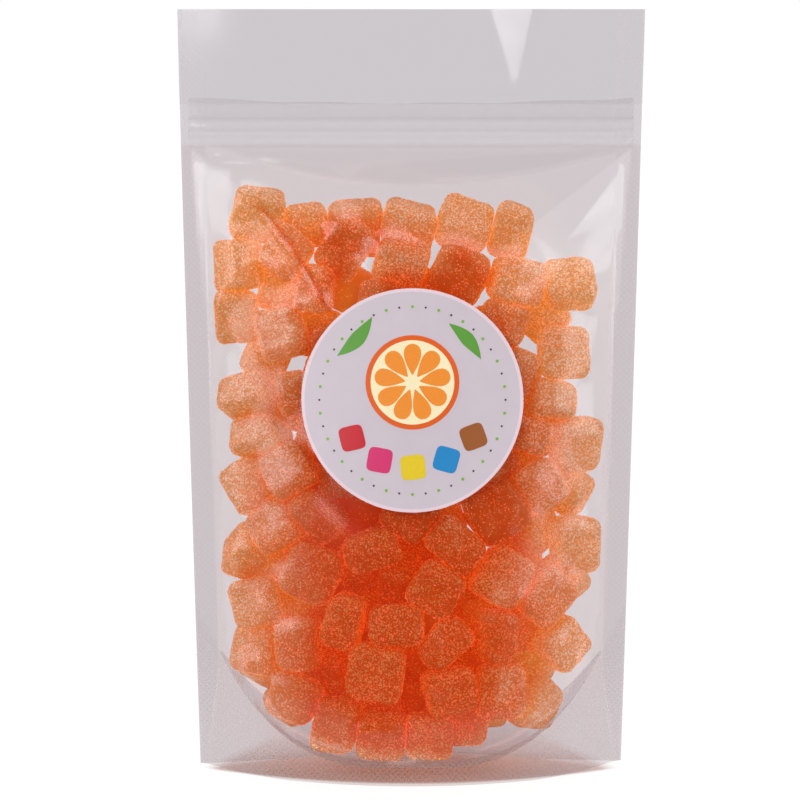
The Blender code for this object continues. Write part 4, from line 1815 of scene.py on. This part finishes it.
@dataclass
class Label:
    """The round paper label and its plain printed pattern of an orange slice, leaves, tiles and dots."""

    form: PouchForm
    thickness: float = 0.0003
    gap: float = 0.0003
    rim: float = 0.0011
    ink: float = 0.00004
    rings: int = 9
    finely_cut_from: float = 0.003
    segments: int = 9
    dots: int = 44
    dot_ring: float = 0.0318

    def on_label(self, x: np.ndarray, z: np.ndarray) -> np.ndarray:
        """Give the depth of the label's front at places on it."""
        bulge = self.form.bulge(x, z)
        return -(self.form.film_half + bulge + self.gap + self.thickness)

    def lay(self, piece: bpy.types.Object) -> None:
        """Bend a flat piece to the label: its own y = 0 comes to lie on the label's front."""
        places = read_places(piece.data)
        places[:, 1] += self.on_label(places[:, 0], places[:, 2])
        write_places(piece.data, places)

    def build_disc(self, paper: bpy.types.Material, edge: bpy.types.Material) -> bpy.types.Object:
        """Cut the paper disc, with its tinted rim, and bend it to the film.

        Args:
            paper: The face's material.
            edge: The rim's material.

        Returns:
            The disc.
        """
        deselect_all()
        bpy.ops.mesh.primitive_circle_add(
            vertices=120,
            radius=self.form.label_radius,
            fill_type="NGON",
            location=(self.form.label_x, self.thickness, self.form.label_z),
            rotation=(math.radians(90), 0.0, 0.0),
        )
        disc = bpy.context.object
        bpy.ops.object.transform_apply(location=True, rotation=True, scale=True)
        with edit_mode(disc):
            bpy.ops.mesh.extrude_region_move(TRANSFORM_OT_translate={"value": (0.0, -self.thickness, 0.0)})
            bpy.ops.mesh.inset(thickness=self.rim)
            for _ in range(self.rings):
                bpy.ops.mesh.inset(thickness=(self.form.label_radius - self.rim) / (self.rings + 1))
            bpy.ops.mesh.poke()
            turn_outwards()
        give_finish(disc, paper, edge)
        for face in disc.data.polygons:
            spot = face.center
            reach = math.hypot(spot.x - self.form.label_x, spot.z - self.form.label_z)
            face.material_index = 1 if reach > self.form.label_radius - self.rim else 0
        self.lay(disc)
        make_active(disc)
        bpy.ops.object.shade_smooth_by_angle(angle=math.radians(40))
        disc.name = "label_disc"
        return disc

    def shape(
        self,
        corners: int,
        radius: float,
        at: tuple[float, float],
        stretch: tuple[float, float] = (1.0, 1.0),
        turn: float = 0.0,
        bend: Callable[[np.ndarray], np.ndarray] | None = None,
        layer: int = 0,
    ) -> bpy.types.Object:
        """Make one flat printed shape.

        Args:
            corners: The number of corners of the round it starts from.
            radius: The round's radius.
            at: Its middle, from the label's middle.
            stretch: How far it is drawn out across and up.
            turn: Its turn in degrees, counter-clockwise.
            bend: A function that reshapes its (x, z) corners before they are placed.
            layer: 0 for ink on paper, more for ink on ink.

        Returns:
            The shape.
        """
        deselect_all()
        bpy.ops.mesh.primitive_circle_add(
            vertices=corners, radius=radius, fill_type="TRIFAN", rotation=(math.radians(90), 0.0, 0.0)
        )
        part = bpy.context.object
        bpy.ops.object.transform_apply(location=True, rotation=True, scale=True)
        with edit_mode(part):
            if radius > self.finely_cut_from:
                bpy.ops.mesh.subdivide(number_cuts=3)
                bpy.ops.mesh.select_all(action="SELECT")
            lift = self.ink * (1 + layer)
            bpy.ops.mesh.extrude_region_move(TRANSFORM_OT_translate={"value": (0.0, -lift, 0.0)})
            turn_outwards()
        places = read_places(part.data)
        flat = places[:, [0, 2]]
        if bend:
            flat = bend(flat)
        flat = flat * np.array(stretch)
        angle = math.radians(turn)
        spun_x = flat[:, 0] * math.cos(angle) - flat[:, 1] * math.sin(angle)
        spun_z = flat[:, 0] * math.sin(angle) + flat[:, 1] * math.cos(angle)
        places[:, 0] = spun_x + self.form.label_x + at[0]
        places[:, 2] = spun_z + self.form.label_z + at[1]
        write_places(part.data, places)
        return part

    @staticmethod
    def leaf(flat: np.ndarray) -> np.ndarray:
        """Draw a round out to a pointed leaf."""
        reach = np.abs(flat).max()
        taper = np.clip(1 - (np.abs(flat[:, 0]) / reach) ** 1.6, 0.0, 1.0)
        bow = 0.22 * reach * (flat[:, 0] / reach) ** 2
        return np.stack([flat[:, 0] * 1.5, np.sign(flat[:, 1]) * taper * 0.42 * reach + bow], axis=1)

    @staticmethod
    def tile(flat: np.ndarray) -> np.ndarray:
        """Square a round off to a tile with soft corners."""
        reach = np.linalg.norm(flat, axis=1, keepdims=True)
        angle = np.arctan2(flat[:, 1], flat[:, 0])
        fullness = (np.abs(np.cos(angle)) ** 5 + np.abs(np.sin(angle)) ** 5) ** (-1 / 5)
        return flat / np.maximum(reach, 1e-9) * reach * fullness[:, None]

    @staticmethod
    def wedge(flat: np.ndarray) -> np.ndarray:
        """Draw a round in to a slice's segment, narrow below and wide above."""
        reach = np.abs(flat).max()
        height = (flat[:, 1] / reach + 1) / 2
        return np.stack([flat[:, 0] * (0.16 + 0.84 * height**0.8), flat[:, 1]], axis=1)

    def printed(self, name: str, colour: str, parts: list[bpy.types.Object]) -> bpy.types.Object:
        """Join shapes of one colour, bend them to the label and ink them."""
        piece = join_into(f"label_{name}", parts)
        self.lay(piece)
        give_finish(piece, PrintInk(name, colour).build())
        return piece

    def build_print(self) -> list[bpy.types.Object]:
        """Print the label's pattern, colour by colour.

        Returns:
            One piece for each colour.
        """
        slice_at = (0.0, 0.0062)
        pieces = [self.printed("rind", "DF5F22", [self.shape(48, 0.0160, slice_at)])]
        pieces.append(self.printed("pith", "F6E7BE", [self.shape(48, 0.0143, slice_at, layer=1)]))
        segments = []
        for number in range(self.segments):
            angle = 2 * math.pi * number / self.segments
            at = (slice_at[0] - 0.0078 * math.sin(angle), slice_at[1] + 0.0078 * math.cos(angle))
            segments.append(self.shape(20, 0.0053, at, (0.78, 1.0), math.degrees(angle), self.wedge, layer=2))
        pieces.append(self.printed("segments", "EE8F34", segments))
        leaves = [
            self.shape(24, 0.0060, (-0.0188, 0.0208), (1.0, 1.0), 48, self.leaf),
            self.shape(24, 0.0055, (0.0188, 0.0208), (1.0, 1.0), 132, self.leaf),
        ]
        pieces.append(self.printed("leaves", "5E9A3E", leaves))
        tiles = {
            "tile_red": ("C4202C", (-0.0206, -0.0128), 14),
            "tile_pink": ("D2366E", (-0.0112, -0.0202), -10),
            "tile_yellow": ("E2C52C", (0.0002, -0.0226), 6),
            "tile_blue": ("2A86C2", (0.0116, -0.0200), -16),
            "tile_brown": ("9A5A2E", (0.0208, -0.0124), 20),
        }
        for name, (colour, at, turn) in tiles.items():
            pieces.append(self.printed(name, colour, [self.shape(28, 0.0042, at, turn=turn, bend=self.tile)]))
        green, dark = [], []
        for number in range(self.dots):
            angle = 2 * math.pi * number / self.dots
            at = (self.dot_ring * math.cos(angle), self.dot_ring * math.sin(angle))
            (green if number % 2 else dark).append(self.shape(12, 0.00055 if number % 2 else 0.00038, at))
        pieces.append(self.printed("dots_green", "7DB24A", green))
        pieces.append(self.printed("dots_dark", "3A343C", dark))
        return pieces


# ---------------------------------------------------------------------------------------------------------------
# The studio


@dataclass(frozen=True)
class SoftBox:
    """A soft light that faces the pouch: its place, width, height and power in watts."""

    name: str
    at: tuple[float, float, float]
    wide: float
    high: float
    power: float

    def build(self, aim: Vector) -> None:
        """Hang the light."""
        data = bpy.data.lights.new(self.name, "AREA")
        data.shape = "RECTANGLE"
        data.size = self.wide
        data.size_y = self.high
        data.energy = self.power
        light = bpy.data.objects.new(self.name, data)
        light.location = self.at
        light.rotation_euler = (aim - Vector(self.at)).to_track_quat("-Z", "Y").to_euler()
        bpy.context.scene.collection.objects.link(light)


SOFT_BOXES = (
    SoftBox("left_box", (-0.88, -0.95, 0.48), 0.55, 1.1, 7.6),
    SoftBox("left_side_box", (-1.20, -0.52, 0.46), 0.50, 1.1, 5.0),
    SoftBox("right_box", (0.90, -0.88, 0.46), 0.50, 1.1, 6.6),
    SoftBox("right_side_box", (1.18, -0.44, 0.46), 0.50, 1.1, 6.0),
    SoftBox("top_box", (0.0, -0.10, 1.30), 1.1, 0.8, 8.0),
    SoftBox("header_card", (-0.42, -1.05, 0.26), 0.24, 0.24, 0.90),
)


@dataclass
class Studio:
    """A flat white paper floor under soft light from both sides."""

    floor_side: float = 12.0
    floor_front: float = 0.12
    sky: float = 1.0
    front_sky: float = 0.05
    back_sky: float = 1.0
    aim_height: float = 0.13
    film_layers: int = 32
    bounces: int = 7

    def lay_floor(self) -> None:
        """Lay the paper, which reaches far behind the pouch."""
        deselect_all()
        middle = (0.0, self.floor_side / 2 - self.floor_front, 0.0)
        bpy.ops.mesh.primitive_plane_add(size=self.floor_side, location=middle)
        floor = bpy.context.object
        bpy.ops.object.transform_apply(location=True, rotation=True, scale=True)
        floor.name = "studio_floor"
        give_finish(floor, StudioPaper().build())

    def make_sky(self) -> bpy.types.World:
        """Make the sky: evenly white to look at, but it lights the pouch more from behind than from in front."""
        world = bpy.data.worlds.new("studio_sky")
        world.use_nodes = True
        world.node_tree.nodes.clear()
        nodes = Wiring(world.node_tree)
        ahead = nodes.part(nodes.add("TexCoord", {}, "Generated"), "Y")
        level = nodes.ramp(ahead, -0.7, 0.7, self.front_sky, self.back_sky)
        lighting = nodes.add("Background", {"Color": WHITE, "Strength": level})
        seen = nodes.add("Background", {"Color": WHITE, "Strength": self.sky})
        both = nodes.mix(nodes.add("LightPath", {}, "Is Camera Ray"), lighting, seen)
        add_node(nodes.tree, "ShaderNodeOutputWorld", links={"Surface": both})
        return world

    def build(self) -> None:
        """Make the floor, the sky and the lights."""
        self.lay_floor()
        scene = bpy.context.scene
        scene.world = self.make_sky()
        scene.view_settings.view_transform = "Standard"
        scene.view_settings.look = "None"
        scene.cycles.transparent_max_bounces = self.film_layers
        scene.cycles.max_bounces = self.bounces
        for box in SOFT_BOXES:
            box.build(Vector((0.0, 0.0, self.aim_height)))


# ---------------------------------------------------------------------------------------------------------------
# The whole


def hand_over(piece: bpy.types.Object, stands_for: str) -> None:
    """Put a finished piece on the pouch.

    Args:
        piece: The piece.
        stands_for: The CAD node that it stands for.
    """
    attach(piece, "root")
    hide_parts(stands_for)
    LOG.info("%s: %d faces", piece.name, len(piece.data.polygons))


def main() -> None:
    """Build the studio, the sweets, the film, the strip and the label, and report each piece."""
    logging.basicConfig(level=logging.INFO, format="%(name)s: %(message)s")
    view = PhotoView()
    form = PouchForm()
    view.build()
    Studio().build()
    heap = Heap(form, view)
    heap.settle()
    sweets = Sweets(heap).build(SugaredJelly().build(), SugarCrystal().build())
    film = Film(form, view)
    film.drape([piece for piece in sweets if piece.name.startswith("sweets")])
    for piece in sweets:
        hand_over(piece, "pouch")
    for piece in film.build(ClearFilm().build()):
        hand_over(piece, "pouch")
    hand_over(PressStrip(film).build(StripPlastic().build()), "zip_strip")
    label = Label(form)
    paper = LabelPaper().build()
    edge = LabelPaper("label_rim", "E3CFD6", "DCC6CE").build()
    hand_over(label.build_disc(paper, edge), "label")
    for piece in label.build_print():
        hand_over(piece, "label")


if __name__ == "__main__":
    main()
